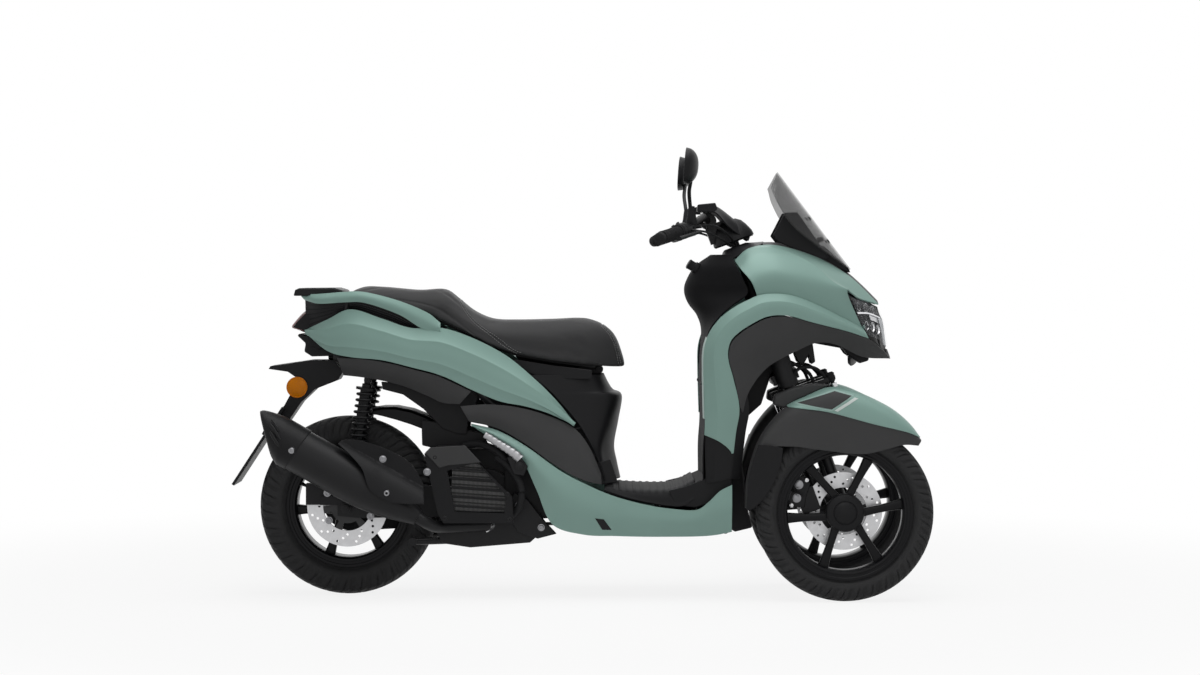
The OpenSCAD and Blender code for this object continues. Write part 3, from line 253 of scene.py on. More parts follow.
# %% Curves through points
FLIP = np.array([1.0, -1.0, 1.0])
EACH_SIDE = (1.0, FLIP)
SIDES = ((-1, "right"), (1, "left"))


def run_on(points):
    """The points with one more before and one more after them, straight on."""
    return np.concatenate([[2 * points[0] - points[1]], points, [2 * points[-1] - points[-2]]])


def span(t, last):
    """The span that t from 0 to 1 falls on, of last spans, and the share of that span before t."""
    k = np.clip(np.floor(t * last).astype(int), 0, last - 1)
    return k, t * last - k


def cubic(a, b, c, d, f):
    """From b to c as f goes from 0 to 1; its slopes there are half the chords from a to c and from b to d."""
    return 0.5 * (2 * b + (c - a) * f + (2 * a - 5 * b + 4 * c - d) * f**2 + (3 * b - a - 3 * c + d) * f**3)


def curve(points, t):
    """Smooth curve through points, one cubic on each span between two of them.

    points is (n, ..., 3); t from 0 to 1 runs over the points by count. Past the ends it goes straight on.
    """
    points, t = np.asarray(points, float), np.asarray(t, float)
    line = run_on(points)
    k, f = span(t, len(points) - 1)
    f = f.reshape(t.shape + (1,) * (points.ndim - 1))
    return cubic(line[k], line[k + 1], line[k + 2], line[k + 3], f)


def patch(rows, u, v):
    """Surface through rows of points: each row is a curve in u, and the points at u make a curve in v.

    u and v are arrays of one shape, so any outline in u and v can be cut from the surface.
    """
    shape, u, v = np.shape(u), np.ravel(u), np.ravel(v)
    line = run_on(np.swapaxes(curve(np.swapaxes(np.asarray(rows, float), 0, 1), u), 0, 1))
    k, f = span(v, len(rows) - 1)
    n = np.arange(len(u))
    return cubic(line[k, n], line[k + 1, n], line[k + 2, n], line[k + 3, n], f[:, None]).reshape(shape + (3,))


def smooth(points, n):
    """n points on the smooth curve through a few."""
    return curve(points, np.linspace(0, 1, n))


def spread(nu, nv, u0=0.0, u1=1.0, v0=0.0, v1=1.0):
    """The two parameters of a grid, as arrays of nu by nv."""
    return np.meshgrid(np.linspace(u0, u1, nu), np.linspace(v0, v1, nv), indexing="ij")


def normals(grid):
    """Unit normals of a grid: cross product of its two directions."""
    n = np.cross(np.gradient(grid, axis=0), np.gradient(grid, axis=1))
    return n / np.maximum(np.linalg.norm(n, axis=-1, keepdims=True), 1e-9)


def mirrored(grid):
    """The same grid on the other side, with its rows turned round so that it still faces outwards."""
    return grid[::-1] * FLIP


def facing(grid, way):
    """The same grid, turned over if it faces away from a direction."""
    return grid if (normals(grid) @ np.asarray(way, float)).mean() > 0 else grid[:, ::-1]


print("curves ready")


# %% Grids into meshes
SAME_PLACE = 2e-6


def quads(nu, nv, wrap_u, wrap_v):
    """Index quads of a grid; a wrapped direction joins its last line to its first."""
    i = np.arange(nu if wrap_u else nu - 1)[:, None]
    j = np.arange(nv if wrap_v else nv - 1)[None, :]
    i2, j2 = (i + 1) % nu, (j + 1) % nv
    return np.stack([i * nv + j, i2 * nv + j, i2 * nv + j2, i * nv + j2], -1).reshape(-1, 4)


def raw_mesh(name, grids, wrap_u=False, wrap_v=False):
    """A mesh of quads from grids of points in millimetres."""
    points, faces, base = [], [], 0
    for grid in grids:
        nu, nv = grid.shape[:2]
        faces.append(quads(nu, nv, wrap_u, wrap_v) + base)
        points.append(grid.reshape(-1, 3) * MM)
        base += nu * nv
    points, faces = np.concatenate(points), np.concatenate(faces)
    mesh = bpy.data.meshes.new(name)
    mesh.vertices.add(len(points))
    mesh.vertices.foreach_set("co", points.astype(np.float32).ravel())
    mesh.loops.add(faces.size)
    mesh.loops.foreach_set("vertex_index", faces.astype(np.int32).ravel())
    mesh.polygons.add(len(faces))
    mesh.polygons.foreach_set("loop_start", np.arange(0, faces.size, 4, dtype=np.int32))
    mesh.update(calc_edges=True)
    return mesh


def clean(mesh, closed):
    """Merge a mesh's equal points, which closes seams and poles; turn a closed shape's faces outwards."""
    work = bmesh.new()
    work.from_mesh(mesh)
    bmesh.ops.remove_doubles(work, verts=work.verts, dist=SAME_PLACE)
    if closed:
        bmesh.ops.recalc_face_normals(work, faces=work.faces)
    work.to_mesh(mesh)
    work.free()


def dress(mesh, finish, body="chassis", replaces=(), sharp=40.0, closed=False):
    """Object from a mesh: cleaned, smooth up to the sharp angle, with a finish, riding on a CAD body."""
    clean(mesh, closed)
    mesh.shade_smooth()
    mesh.set_sharp_from_angle(angle=math.radians(sharp))
    mesh.materials.append(finish.material)
    obj = bpy.data.objects.new(mesh.name, mesh)
    bpy.context.collection.objects.link(obj)
    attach(obj, body)
    if replaces:
        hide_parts(*replaces)
    return obj


def piece(name, grids, finish, body="chassis", slot=None, wrap_u=False, wrap_v=False, replaces=(), sharp=40.0,
          closed=False):
    """One object from grids of points in millimetres."""
    return dress(raw_mesh(name, grids, wrap_u, wrap_v), finish, body, replaces, sharp, closed)


def rounded(obj, edge, segments=2):
    """Round an object's sharp edges."""
    rounding = obj.modifiers.new("edge", "BEVEL")
    rounding.width, rounding.segments, rounding.limit_method = edge * MM, segments, "ANGLE"
    rounding.angle_limit = math.radians(50)
    return obj


def sheet(name, grids, finish, thickness, edge=0.8, **rest):
    """A piece with a wall: its grids get their thickness inwards, and rounded edges."""
    obj = piece(name, grids, finish, **rest)
    solid = obj.modifiers.new("wall", "SOLIDIFY")
    solid.thickness, solid.offset = thickness * MM, -1.0
    return rounded(obj, edge)


def panel(name, rows, thickness, finish, size, trim=(0, 1, 0, 1), twin=True, body="chassis", edge=0.8):
    """A body panel on rows of control points; a negative thickness means that the rows run the other way."""
    grid = patch(rows, *spread(*size, *trim))
    if thickness < 0:
        grid = grid[:, ::-1]
    return sheet(name + "_skin", [grid, mirrored(grid)] if twin else [grid], finish, abs(thickness), edge, body=body,
                 replaces=(name,))


def plate(name, outline, ys, finish, edge=1.2, body="chassis", replaces=()):
    """Flat plates: one outline in x and z, drawn out along y between each pair of ys, with rounded edges."""
    flat = np.asarray(outline, float)
    n = len(flat)
    k = np.arange(n)
    points, faces = [], []
    for base, pair in enumerate(ys):
        points += [np.stack([flat[:, 0], np.full(n, float(y)), flat[:, 1]], -1) for y in pair]
        low = 2 * n * base
        side = np.stack([k, (k + 1) % n, n + (k + 1) % n, n + k], -1) + low
        faces += side.tolist() + [(k[::-1] + low).tolist(), (k + n + low).tolist()]
    mesh = bpy.data.meshes.new(name)
    mesh.from_pydata((np.concatenate(points) * MM).tolist(), [], faces)
    return rounded(dress(mesh, finish, body, replaces, 40.0, True), edge)


def both_sides(near, far):
    """The ys of a pair of plates, one on each side."""
    return [(-far, -near), (near, far)]


print("panels and plates ready")


# %% Turned shapes and tubes
def frame_of(way):
    """A unit direction and two more square to it."""
    way = np.asarray(way, float) / np.linalg.norm(way)
    ref = np.array([0.0, 0.0, 1.0]) if abs(way[2]) < 0.9 else np.array([1.0, 0.0, 0.0])
    side = np.cross(ref, way)
    side /= np.linalg.norm(side)
    return way, side, np.cross(way, side)


def turned(profile, centre, way, count=48):
    """A profile of (radius, offset) turned about the line through centre along way; angle by profile."""
    profile = np.asarray(profile, float)
    way, side, up = frame_of(way)
    a = np.linspace(0, 2 * np.pi, count, endpoint=False)[:, None, None]
    r, off = profile[None, :, :1], profile[None, :, 1:]
    return np.asarray(centre, float) + off * way + r * (np.cos(a) * side + np.sin(a) * up)


def lathe(name, shapes, finish, count=48, body="chassis", slot=None, replaces=(), sharp=35.0):
    """Several turned shapes as one object; each is (profile, centre, way), and a profile starts and ends at 0."""
    return piece(name, [turned(*shape, count) for shape in shapes], finish, body, slot, wrap_u=True, closed=True,
                 replaces=replaces, sharp=sharp)


def bolts(name, places, way, r, h, finish, body="chassis"):
    """Round bolt heads with a socket, at several places, that all point along way."""
    head = [[0, 0.3 * h], [0.42 * r, 0.3 * h], [0.48 * r, 0.94 * h], [0.82 * r, h], [0.97 * r, 0.8 * h],
            [r, 0.2 * h], [1.25 * r, 0.15 * h], [1.25 * r, 0], [0, 0]]
    return lathe(name, [(head, p, way) for p in places], finish, 20, body)


def capped(path, ring):
    """Rings along a path, closed by a point at each end of it."""
    ends = [np.repeat(path[k, None, None], ring.shape[1], 1) for k in (0, -1)]
    return np.concatenate([ends[0], ring, ends[1]])


def tube(path, radius, count=14, ref=(0.0, 0.0, 1.0), flat=1.0):
    """Round tube along a path: rings square to it, closed at both ends; flat squeezes it along ref."""
    path = np.asarray(path, float)
    way = np.gradient(path, axis=0)
    way /= np.linalg.norm(way, axis=1, keepdims=True)
    side = np.cross(way, ref)
    side /= np.linalg.norm(side, axis=1, keepdims=True)
    up = np.cross(side, way)
    a = np.linspace(0, 2 * np.pi, count, endpoint=False)[None, :, None]
    r = np.broadcast_to(np.asarray(radius, float), (len(path),))[:, None, None]
    return capped(path, path[:, None] + r * (np.cos(a) * side[:, None] + flat * np.sin(a) * up[:, None]))


def tubes(name, paths, radius, finish, count=14, body="chassis", slot=None, ref=(0.0, 0.0, 1.0), flat=1.0,
          replaces=()):
    """Several tubes as one object."""
    return piece(name, [tube(p, radius, count, ref, flat) for p in paths], finish, body, slot, wrap_v=True,
                 closed=True, replaces=replaces, sharp=50)


print("tubes ready")


# %% Patches laid on a surface
def locate(rows, x, z, u_range, v_range):
    """The u and v at which a surface shows the side view's places (x, z): nearest grid point, then Newton steps."""
    x, z = np.ravel(np.asarray(x, float)), np.ravel(np.asarray(z, float))
    gu, gv = spread(60, 60, *u_range, *v_range)
    near = patch(rows, gu, gv).reshape(-1, 3)
    k = np.argmin((near[:, 0] - x[:, None]) ** 2 + (near[:, 2] - z[:, None]) ** 2, axis=1)
    u, v, e = gu.ravel()[k], gv.ravel()[k], 1e-4
    for _ in range(8):
        q = patch(rows, u, v)
        a, b = (patch(rows, u + e, v) - q) / e, (patch(rows, u, v + e) - q) / e
        dx, dz, det = x - q[:, 0], z - q[:, 2], a[:, 0] * b[:, 2] - a[:, 2] * b[:, 0]
        det = np.where(abs(det) < 1.0, 1.0, det)
        u = np.clip(u + np.clip((dx * b[:, 2] - dz * b[:, 0]) / det, -0.02, 0.02), *u_range)
        v = np.clip(v + np.clip((a[:, 0] * dz - a[:, 2] * dx) / det, -0.02, 0.02), *v_range)
    return u, v


def decal(rows, corners, lift, u_range, v_range, size=(24, 24)):
    """A four-cornered patch on a left-hand surface, straight-edged in the side view and lifted off it."""
    c = np.asarray(corners, float)
    s, t = (q[..., None] for q in spread(*size))
    flat = (1 - s) * ((1 - t) * c[0] + t * c[3]) + s * ((1 - t) * c[1] + t * c[2])
    u, v = locate(rows, flat[..., 0], flat[..., 1], u_range, v_range)
    grid = facing(patch(rows, u.reshape(size), v.reshape(size)), (0, 1, 0.3))
    return grid + lift * normals(grid)


print("surface tools ready")

# %% [markdown]
# ## Painted nose and leg shield
# The front of the body is two painted halves with a dark strip between them. A crease runs from the lamps
# back over the arch and down the edge of the leg shield; below it a grey panel frames the wheel arch.
# Moulded panels are thin, so each is a sheet that gets its wall from Solidify and a rounded rim from Bevel.
# The rim catches the light along the gaps, which is what makes separate panels read as separate.

# %% Body lines of the front
cowl_top = [[440, 128, 958], [480, 120, 992], [545, 104, 1003], [620, 84, 988], [700, 66, 958], [780, 52, 908],
            [857, 40, 834]]
cowl_high = [[452, 196, 936], [490, 180, 968], [548, 166, 976], [612, 150, 962], [676, 134, 936], [726, 122, 904],
             [800, 92, 850]]
cowl_waist = [[482, 226, 898], [506, 220, 914], [556, 210, 922], [612, 196, 911], [664, 178, 896], [708, 162, 882],
              [756, 140, 872]]
crease = np.array([[807, 116, 765], [747, 154, 797], [654, 194, 842], [584, 218, 864], [514, 231, 865],
                   [472, 236, 849], [435, 239, 830], [398, 240, 802], [366, 240, 760], [349, 238, 710],
                   [347, 234, 640], [350, 224, 513], [347, 212, 427], [350, 204, 330]], float)
grey_line = np.array([[821, 118, 737], [747, 166, 760], [654, 208, 783], [584, 229, 802], [528, 240, 800],
                      [482, 244, 779], [447, 246, 756], [424, 246, 732], [416, 246, 700], [420, 244, 668],
                      [432, 241, 628], [450, 231, 545], [440, 218, 470], [426, 208, 345]], float)
arch_mid = [[862, 84, 704], [780, 136, 731], [694, 182, 757], [624, 210, 760], [560, 226, 742], [512, 236, 722],
            [478, 240, 700], [452, 242, 676], [440, 242, 650], [440, 241, 626], [444, 239, 598], [454, 231, 540]]
arch_edge = [[892, 30, 677], [806, 96, 684], [728, 150, 719], [668, 178, 726], [612, 196, 704], [564, 208, 681],
             [530, 214, 660], [504, 219, 634], [484, 222, 606], [472, 224, 584], [464, 225, 560], [458, 226, 532]]
CHAMFER = 13.0
cowl_low = curve(crease, (4.3 - 4.3 * np.arange(7) / 6) / 13) - [0, CHAMFER + 4, 5]
cowl_rows = [cowl_top, cowl_high, cowl_waist, cowl_low]
shield_rows = [crease, 0.5 * (crease + grey_line) + [0, 5, 0], grey_line]
arch_rows = [grey_line[:12], arch_mid, arch_edge]
nose_edge = curve(cowl_top, 0.28 + 0.72 * np.arange(9) / 8) - [0, 3.5, 0]
nose_rows = [nose_edge, nose_edge * [1, 0, 1] + [0, 0, 10], nose_edge * [1, -1, 1]]
lip_rows = [[[878, 25, 706], [885, 0, 704], [878, -25, 706]], [[887, 22, 682], [894, 0, 680], [887, -22, 682]]]
print("cowl of", len(cowl_rows), "rows, leg shield of", len(shield_rows))


# %% Front panels
def creased(rows, size, trim, ridges):
    """A panel's grid with soft ridges: near v = centre(u) it stands out by height, falling off over width."""
    u, v = spread(*size, *trim)
    grid = patch(rows, u, v)
    lift = sum(height * np.exp(-abs(v - centre(u)) / width) for centre, height, width in ridges)
    return grid + lift[..., None] * normals(grid)


cowl = creased(cowl_rows, (110, 90), (0, 1, 0, 1), [(lambda u: 0.06 + 0.58 * u**1.6, 4.0, 0.10)])
sheet("front_cowl_skin", [cowl, mirrored(cowl)], mint_paint, 4, replaces=("front_cowl",))
panel("nose_trim", nose_rows, -4, grey_plastic, (60, 24), twin=False)


def shield_part(u, v):
    """Part of the leg shield: from v = 0.36 to its edge at v = 0 it is drawn in by the chamfer."""
    grid = patch(shield_rows, u, v)
    grid[..., 1] -= CHAMFER * np.clip(1 - v / 0.36, 0, 1)
    return grid[:, ::-1]


u, v = spread(200, 40, 0, 0.957)
start = 0.015 + np.clip((u - 0.885) / 0.07, 0, 1) * 0.9
shield = shield_part(u, start + (0.975 - start) * v)
sheet("leg_shield_skin", [shield, mirrored(shield)], mint_paint, 4, replaces=("leg_shield",), sharp=14)
foot = shield_part(*spread(50, 30, 0.86, 1.0, 0.03, 0.97))
foot = foot - 4.5 * normals(foot)
lip_line = crease[7:12] - [0, CHAMFER, 0]
lip = facing(patch([lip_line, lip_line - [3, 46, 0]], *spread(60, 8)), (-1, -0.3, 0))
sheet("shield_lip", [lip, mirrored(lip)], mint_paint, 3)
strip = facing(patch([grey_line[8:] - [3, 4, 0], grey_line[8:] + [26, -16, 0]], *spread(70, 8)), (0.4, 1, 0))
sheet("shield_foot", [foot, mirrored(foot), strip, mirrored(strip)], black_plastic, 3)
panel("arch_panel", arch_rows, -4, grey_plastic, (150, 24), (0, 1, 0.025, 1))
panel("beak", lip_rows, 4, grey_plastic, (24, 8), twin=False)
print("front panels done")

# %% Wall that faces the rider
inner_levels = np.array([[976, 376, 112, 430], [942, 330, 178, 442], [898, 304, 204, 462], [866, 300, 212, 470],
                         [834, 312, 216, 428], [802, 336, 218, 392], [760, 350, 218, 362], [700, 350, 216, 352],
                         [610, 344, 212, 349], [510, 350, 202, 352], [425, 354, 192, 346], [340, 352, 186, 346]],
                        float)


def inner_row(q):
    """One row of the inner wall: q runs from -1 to 1 across, and the x grows with its power 2.4."""
    z, mid, half, edge = inner_levels.T
    return np.stack([mid + (edge - mid) * abs(q) ** 2.4, -q * half, z], -1)


panel("inner_panel", [inner_row(q) for q in np.linspace(-1, 1, 5)], 4, matt_plastic, (120, 60), twin=False)
print("inner wall done")

# %% [markdown]
# ## Windscreen and lamps
# The screen is one bowed sheet of smoked plastic, so it stays see-through with a gloss on it. A headlamp
# looks deep only if something lies behind its lens. Here that is a black bowl, a dark band, a bright
# divider and shelf, a white strip and small cups, and all but the cups are parts of the lens surface moved
# inwards.

# %% Windscreen
screen_levels = np.array([[780, 935, 40, 6, 4], [762, 958, 66, 12, 6], [718, 1016, 108, 42, 14],
                          [668, 1083, 136, 66, 22], [616, 1152, 124, 52, 30], [569, 1215, 78, 24, 46]], float)


def screen_row(q):
    """One row of the screen: sweep and drop grow with the square of q, which runs from -1 to 1 across."""
    x, z, half, sweep, drop = screen_levels.T
    return np.stack([x - sweep * q * q, -q * half, z - drop * q * q], -1)


screen_rows = [screen_row(q) for q in np.linspace(-1, 1, 5)]
panel("windscreen", screen_rows, 4, smoked, (50, 50), twin=False, edge=1.2)
print("screen of", len(screen_rows), "rows")

# %% Headlamps
lamp_rows = [[[771, 132, 855], [816, 90, 841], [859, 43, 819]], [[793, 119, 797], [835, 88, 797], [873, 39, 783]],
             [[822, 110, 746], [855, 83, 732], [884, 38, 708]]]
lens_grid = patch(lamp_rows, *spread(40, 40))
sheet("lamp_lens", [lens_grid, mirrored(lens_grid)], clear_lens, 2.5, replaces=("headlamps",))


def in_lamp(u0, u1, v0, v1, depth, size=(24, 24)):
    """A sheet behind the lens: part of the lens surface moved inwards by depth, on both sides."""
    grid = patch(lamp_rows, *spread(*size, u0, u1, v0, v1))
    grid = grid - depth * normals(grid)
    return [grid, mirrored(grid)]


sheet("lamp_bowl", in_lamp(-0.10, 1.12, -0.16, 1.04, 14.0), lamp_black, 2.0)
sheet("lamp_band", in_lamp(0.02, 0.95, 0.04, 0.30, 7.0), smoked, 2.0)
sheet("lamp_divider", in_lamp(0.06, 0.94, 0.36, 0.41, 5.0), chrome, 6.0)
sheet("lamp_shelf", in_lamp(0.5, 0.94, 0.42, 0.56, 9.0), bright_steel, 2.0)
sheet("lamp_strip", in_lamp(0.86, 0.97, 0.42, 0.98, 4.0), glow, 4.0)
cups = np.concatenate([patch(lamp_rows, *spread(3, 1, 0.25, 0.75, v, v))[:, 0] for v in (0.2, 0.72)])
aim = np.array([0.8, 0.42, 0.1])
cup_profile = [[0, -8], [7, -7], [11, 0], [13, 5], [14, 5], [12, -2], [8, -10], [0, -11]]
lathe("lamp_cups", [(cup_profile, (c - 15 * aim) * m, aim * m) for m in EACH_SIDE for c in cups], bright_steel, 28)
print("screen and lamps done")

# %% [markdown]
# ## Floor and tail
# The floor's sides sweep up under the passenger's footrests, and the tail rises behind the seat. Two edges
# read from the side view and a bulge between them are enough for such a panel. The ribs of the rubber mat
# are part of its surface, not a bump, so they also show against the light.

# %% Body lines of the floor and tail
floor_top = [[-306, 166, 498], [-230, 172, 478], [-150, 178, 434], [-58, 186, 368], [20, 192, 327], [100, 196, 294],
             [183, 198, 272], [258, 200, 260], [327, 202, 257], [362, 203, 279], [394, 204, 310], [428, 206, 328]]
floor_low = [[-300, 166, 488], [-240, 173, 450], [-165, 179, 396], [-122, 182, 312], [-78, 178, 215],
             [10, 174, 185], [100, 174, 181], [184, 174, 179], [258, 174, 179], [327, 176, 180], [380, 180, 184],
             [428, 188, 194]]
cover_top = [[-786, 70, 760], [-718, 112, 791], [-650, 136, 820], [-560, 146, 794], [-479, 152, 768],
             [-392, 156, 768], [-300, 158, 738], [-206, 157, 688], [-125, 156, 621], [-65, 155, 561],
             [-14, 155, 497]]
cover_low = [[-783, 72, 750], [-717, 118, 700], [-650, 146, 683], [-560, 160, 675], [-479, 168, 656],
             [-392, 172, 632], [-302, 174, 590], [-225, 174, 559], [-155, 172, 546], [-85, 168, 525],
             [-16, 160, 493]]
trim_top = [[-690, 132, 683], [-618, 151, 681], [-548, 160, 671], [-470, 168, 652], [-400, 171, 633],
            [-345, 172, 609], [-306, 173, 590]]
trim_low = [[-672, 116, 632], [-629, 126, 628], [-573, 136, 620], [-502, 142, 603], [-432, 146, 575],
            [-390, 150, 556], [-340, 160, 552]]
lower_top = [[-338, 168, 548], [-265, 173, 554], [-185, 173, 548], [-104, 170, 528], [-20, 163, 491],
             [26, 160, 436], [60, 160, 358]]
lower_low = [[-312, 167, 503], [-231, 174, 484], [-152, 180, 440], [-94, 184, 398], [-34, 187, 360], [20, 184, 336],
             [62, 172, 326]]
rail_top = [[-800, 84, 862], [-740, 122, 864], [-664, 140, 870], [-607, 146, 869], [-513, 152, 845],
            [-433, 155, 812], [-394, 157, 782]]
rail_low = [[-786, 86, 846], [-740, 126, 836], [-664, 142, 840], [-607, 148, 838], [-513, 154, 806],
            [-450, 157, 768], [-394, 158, 750]]


def bulged(first, second, out):
    """Three rows between two edges, with the middle one pushed outwards."""
    first, second = np.asarray(first, float), np.asarray(second, float)
    return [first, 0.5 * (first + second) + [0, out, 0], second]


print("floor line of", len(floor_top), "points, tail line of", len(cover_top))

# %% Floor and tail panels
panel("floor_panels", bulged(floor_top, floor_low, 12), 4, mint_paint, (150, 30))
cover = creased(bulged(cover_top, cover_low, 12), (160, 80), (0, 1, 0, 0.985),
                [(lambda u: 0.30 + 0.02 * u, 5.0, 0.12), (lambda u: 0.80 - 0.1 * u, 4.0, 0.10)])
sheet("side_covers_skin", [cover, mirrored(cover)], mint_paint, 4, replaces=("side_covers",))
panel("tail_trims", bulged(trim_top, trim_low, 4), 4, grey_plastic, (90, 20), (0, 1, 0.03, 1))
panel("lower_covers", bulged(lower_top, lower_low, 6), 4, grey_plastic, (90, 24), (0, 1, 0.02, 1))
panel("grab_rail", bulged(rail_top, rail_low, 6), 14, mint_paint, (90, 20), edge=4.0)
print("floor and tail done")

# %% Footboard, belly and the cover under the seat
FLOOR = 312.0
board_levels = np.array([[70, 323, 140, 312, 180], [130, 316, 150, 292, 184], [190, FLOOR, 156, 278, 186],
                         [250, FLOOR, 158, 268, 186], [290, 322, 158, 268, 186], [322, 340, 156, 288, 186]], float)
bx, bz, bw, ez, ew = board_levels.T
board_rows = [np.stack(r, -1) for r in ([bx, -ew, ez], [bx, -bw - 12, bz - 6], [bx, -bw * 0.5, bz],
                                        [bx, bw * 0.5, bz], [bx, bw + 12, bz - 6], [bx, ew, ez])]
u, v = spread(160, 150)
board = patch(board_rows, u, v)
ribs = np.clip(np.sin(u * 2 * np.pi * 15) * 3, 0, 1) * np.clip((0.36 - abs(v - 0.5)) * 60, 0, 1)
ribs = ribs * np.clip((0.5 - abs(u - 0.5) - 0.06) * 40, 0, 1)
board[..., 2] += 1.6 * ribs
sheet("footboard_mat", [board], rubber, 9, replaces=("footboard",))
panel("belly_pan", [[[x, 162 * q, 190 + 12 * max(0, abs(q) - 0.5) + max(0, x - 330) * 0.35]
                     for x in (-6, 80, 180, 300, 400)] for q in np.linspace(-1, 1, 5)], 4, black_plastic, (40, 30),
      twin=False)
centre_levels = np.array([[634, 68, 112, -140, 148], [606, 82, 112, -104, 148], [588, 95, 112, -84, 148],
                          [570, 120, 112, -66, 148], [500, 110, 114, -6, 148], [430, 98, 116, 36, 148],
                          [380, 106, 120, 58, 148], [334, 116, 124, 72, 148]], float)
cz, cx, cw, rx, rw = centre_levels.T
centre_rows = [np.stack(r, -1) for r in ([rx, -rw, cz], [cx - 34, -cw, cz], [cx, 0 * cz, cz], [cx - 34, cw, cz],
                                         [rx, rw, cz])]
panel("centre_cover", centre_rows, 4, black_plastic, (90, 90), twin=False)
hood_rows = np.array([[[352, 82, 1098], [388, 84, 1096], [430, 70, 1052], [484, 44, 1016]],
                      [[348, 44, 1110], [386, 46, 1114], [432, 40, 1080], [490, 26, 1030]],
                      [[344, 0, 1114], [386, 0, 1118], [434, 0, 1086], [494, 0, 1034]]], float)
hood_rows = np.concatenate([hood_rows, hood_rows[1::-1] * FLIP])
panel("bar_cover", hood_rows, -4, black_plastic, (50, 50), twin=False, body="steering")
print("floor covers done")

# %% [markdown]
# ## Seat
# The seat is moulded foam under a tight vinyl cover, in two levels and with sewn seams. Its sections are
# half ovals carried along the vehicle and closed by a flat base. This shape is remeshed evenly and blown up
# by Blender's cloth simulation with its base held, as foam pushes its cover out; how far a point may go is
# capped. Then the seams are pressed in along lines from the side view, and each stitch is a short thread on
# the nearest place of the cover.

# %% Vinyl
vinyl = Finish("seat_vinyl", {"Sheen Weight": 0.03, "Specular IOR Level": 0.2})
pebble = vinyl.cells(750.0)
drift = vinyl.noise(14.0)
vinyl.feed({"Base Color": vinyl.blend(drift, (0.027, 0.027, 0.028, 1), (0.035, 0.035, 0.036, 1)),
            "Roughness": 0.5 + 0.16 * pebble}).bump(pebble, 0.25, 0.0006)
print("vinyl", len(vinyl.tree.nodes), "nodes")

# %% Sections and seams of the cushion
seat_levels = np.array([[-664, 868, 852, 84], [-640, 883, 848, 110], [-560, 881, 840, 124], [-465, 873, 812, 132],
                        [-390, 875, 786, 137], [-350, 848, 766, 140], [-304, 812, 744, 143], [-250, 790, 716, 146],
                        [-180, 787, 694, 148], [-80, 789, 676, 146], [0, 792, 666, 136], [60, 783, 659, 116],
                        [104, 744, 656, 96], [132, 664, 656, 78]], float)
seat_levels[:, 3] += [0, 2, 4, 5, 6, 6, 6, 6, 5, 5, 5, 5, 4, 2]
level = smooth(seat_levels, 420)
ROUND_Y, ROUND_Z = 0.55, 0.6


def seat_point(x, height):
    """Point on the cushion's right side at x and z: y is the half width times the section's cosine to ROUND_Y."""
    top, base, half = (np.interp(x, level[:, 0], level[:, k]) for k in (1, 2, 3))
    rise = np.clip((height - base) / np.maximum(top - base, 1), 0, 1)
    return np.stack([x, -half * np.sqrt(1 - rise ** (2 / ROUND_Z)) ** ROUND_Y, base + rise * (top - base)], -1)


def seam(line, across):
    """A seam from a line in the side view: up one side, over the top if across, and down the other side."""
    side = smooth(np.pad(np.array(line, float), ((0, 0), (0, 1))), 90)
    right = seat_point(side[:, 0], side[:, 1])
    left = right * FLIP
    if not across:
        return [right, left]
    y = np.linspace(right[0, 1], -right[0, 1], 60)
    half = np.interp(right[0, 0], level[:, 0], level[:, 3])
    top, base = (np.interp(right[0, 0], level[:, 0], level[:, k]) for k in (1, 2))
    over = base + (top - base) * (1 - np.minimum(abs(y) / half, 1) ** (2 / ROUND_Y)) ** (ROUND_Z / 2)
    bridge = np.stack([np.full(60, right[0, 0]), y, over], -1)
    return [np.concatenate([right[::-1], bridge[1:-1], left])]


step_line = [(-372, 872), (-344, 842), (-311, 806), (-279, 776), (-230, 735), (-192, 705), (-170, 690)]
pillion_line = [(-600, 862), (-517, 853), (-452, 842), (-398, 822), (-354, 794), (-322, 768), (-296, 745)]
nose_line = [(66, 775), (90, 748), (106, 712), (117, 662)]
seams = seam(step_line, True) + seam(pillion_line, False) + seam(nose_line, True)
print("cushion of", len(level), "sections,", len(seams), "seams")

# %% Shape under the cover
angle = np.linspace(0, np.pi, 130)
along, across = level[:, None, :], np.cos(angle)[None, :]
arch = np.stack([along[..., 0] + 0 * across,
                 along[..., 3] * np.sign(across) * abs(across) ** ROUND_Y,
                 along[..., 2] + (along[..., 1] - along[..., 2]) * abs(np.sin(angle))[None, :] ** ROUND_Z], -1)
SWELL = 4.0
arch = arch + SWELL * normals(arch)
base = np.linspace(arch[:, -1], arch[:, 0], 24, axis=1)[:, 1:-1]
ring = np.concatenate([arch, base], 1)
ring = np.concatenate([np.repeat(ring[:1].mean(1, keepdims=True), ring.shape[1], 1), ring,
                       np.repeat(ring[-1:].mean(1, keepdims=True), ring.shape[1], 1)])
small = raw_mesh("pad_shape", [ring], wrap_v=True)


def result(obj):
    """The mesh an object has after its modifiers."""
    bpy.context.view_layer.update()
    return bpy.data.meshes.new_from_object(obj.evaluated_get(bpy.context.evaluated_depsgraph_get()))


def points_of(mesh, what="co"):
    """A mesh's points or their normals as an array, points in millimetres."""
    flat = np.empty(len(mesh.vertices) * 3, np.float32)
    if what == "co":
        mesh.vertices.foreach_get("co", flat)
        return flat.reshape(-1, 3) / MM
    mesh.vertex_normals.foreach_get("vector", flat)
    return flat.reshape(-1, 3)


def set_points(mesh, points):
    """Put points given in millimetres into a mesh."""
    mesh.vertices.foreach_set("co", (points * MM).astype(np.float32).ravel())
    mesh.update()


print("pad of", len(small.vertices), "points")

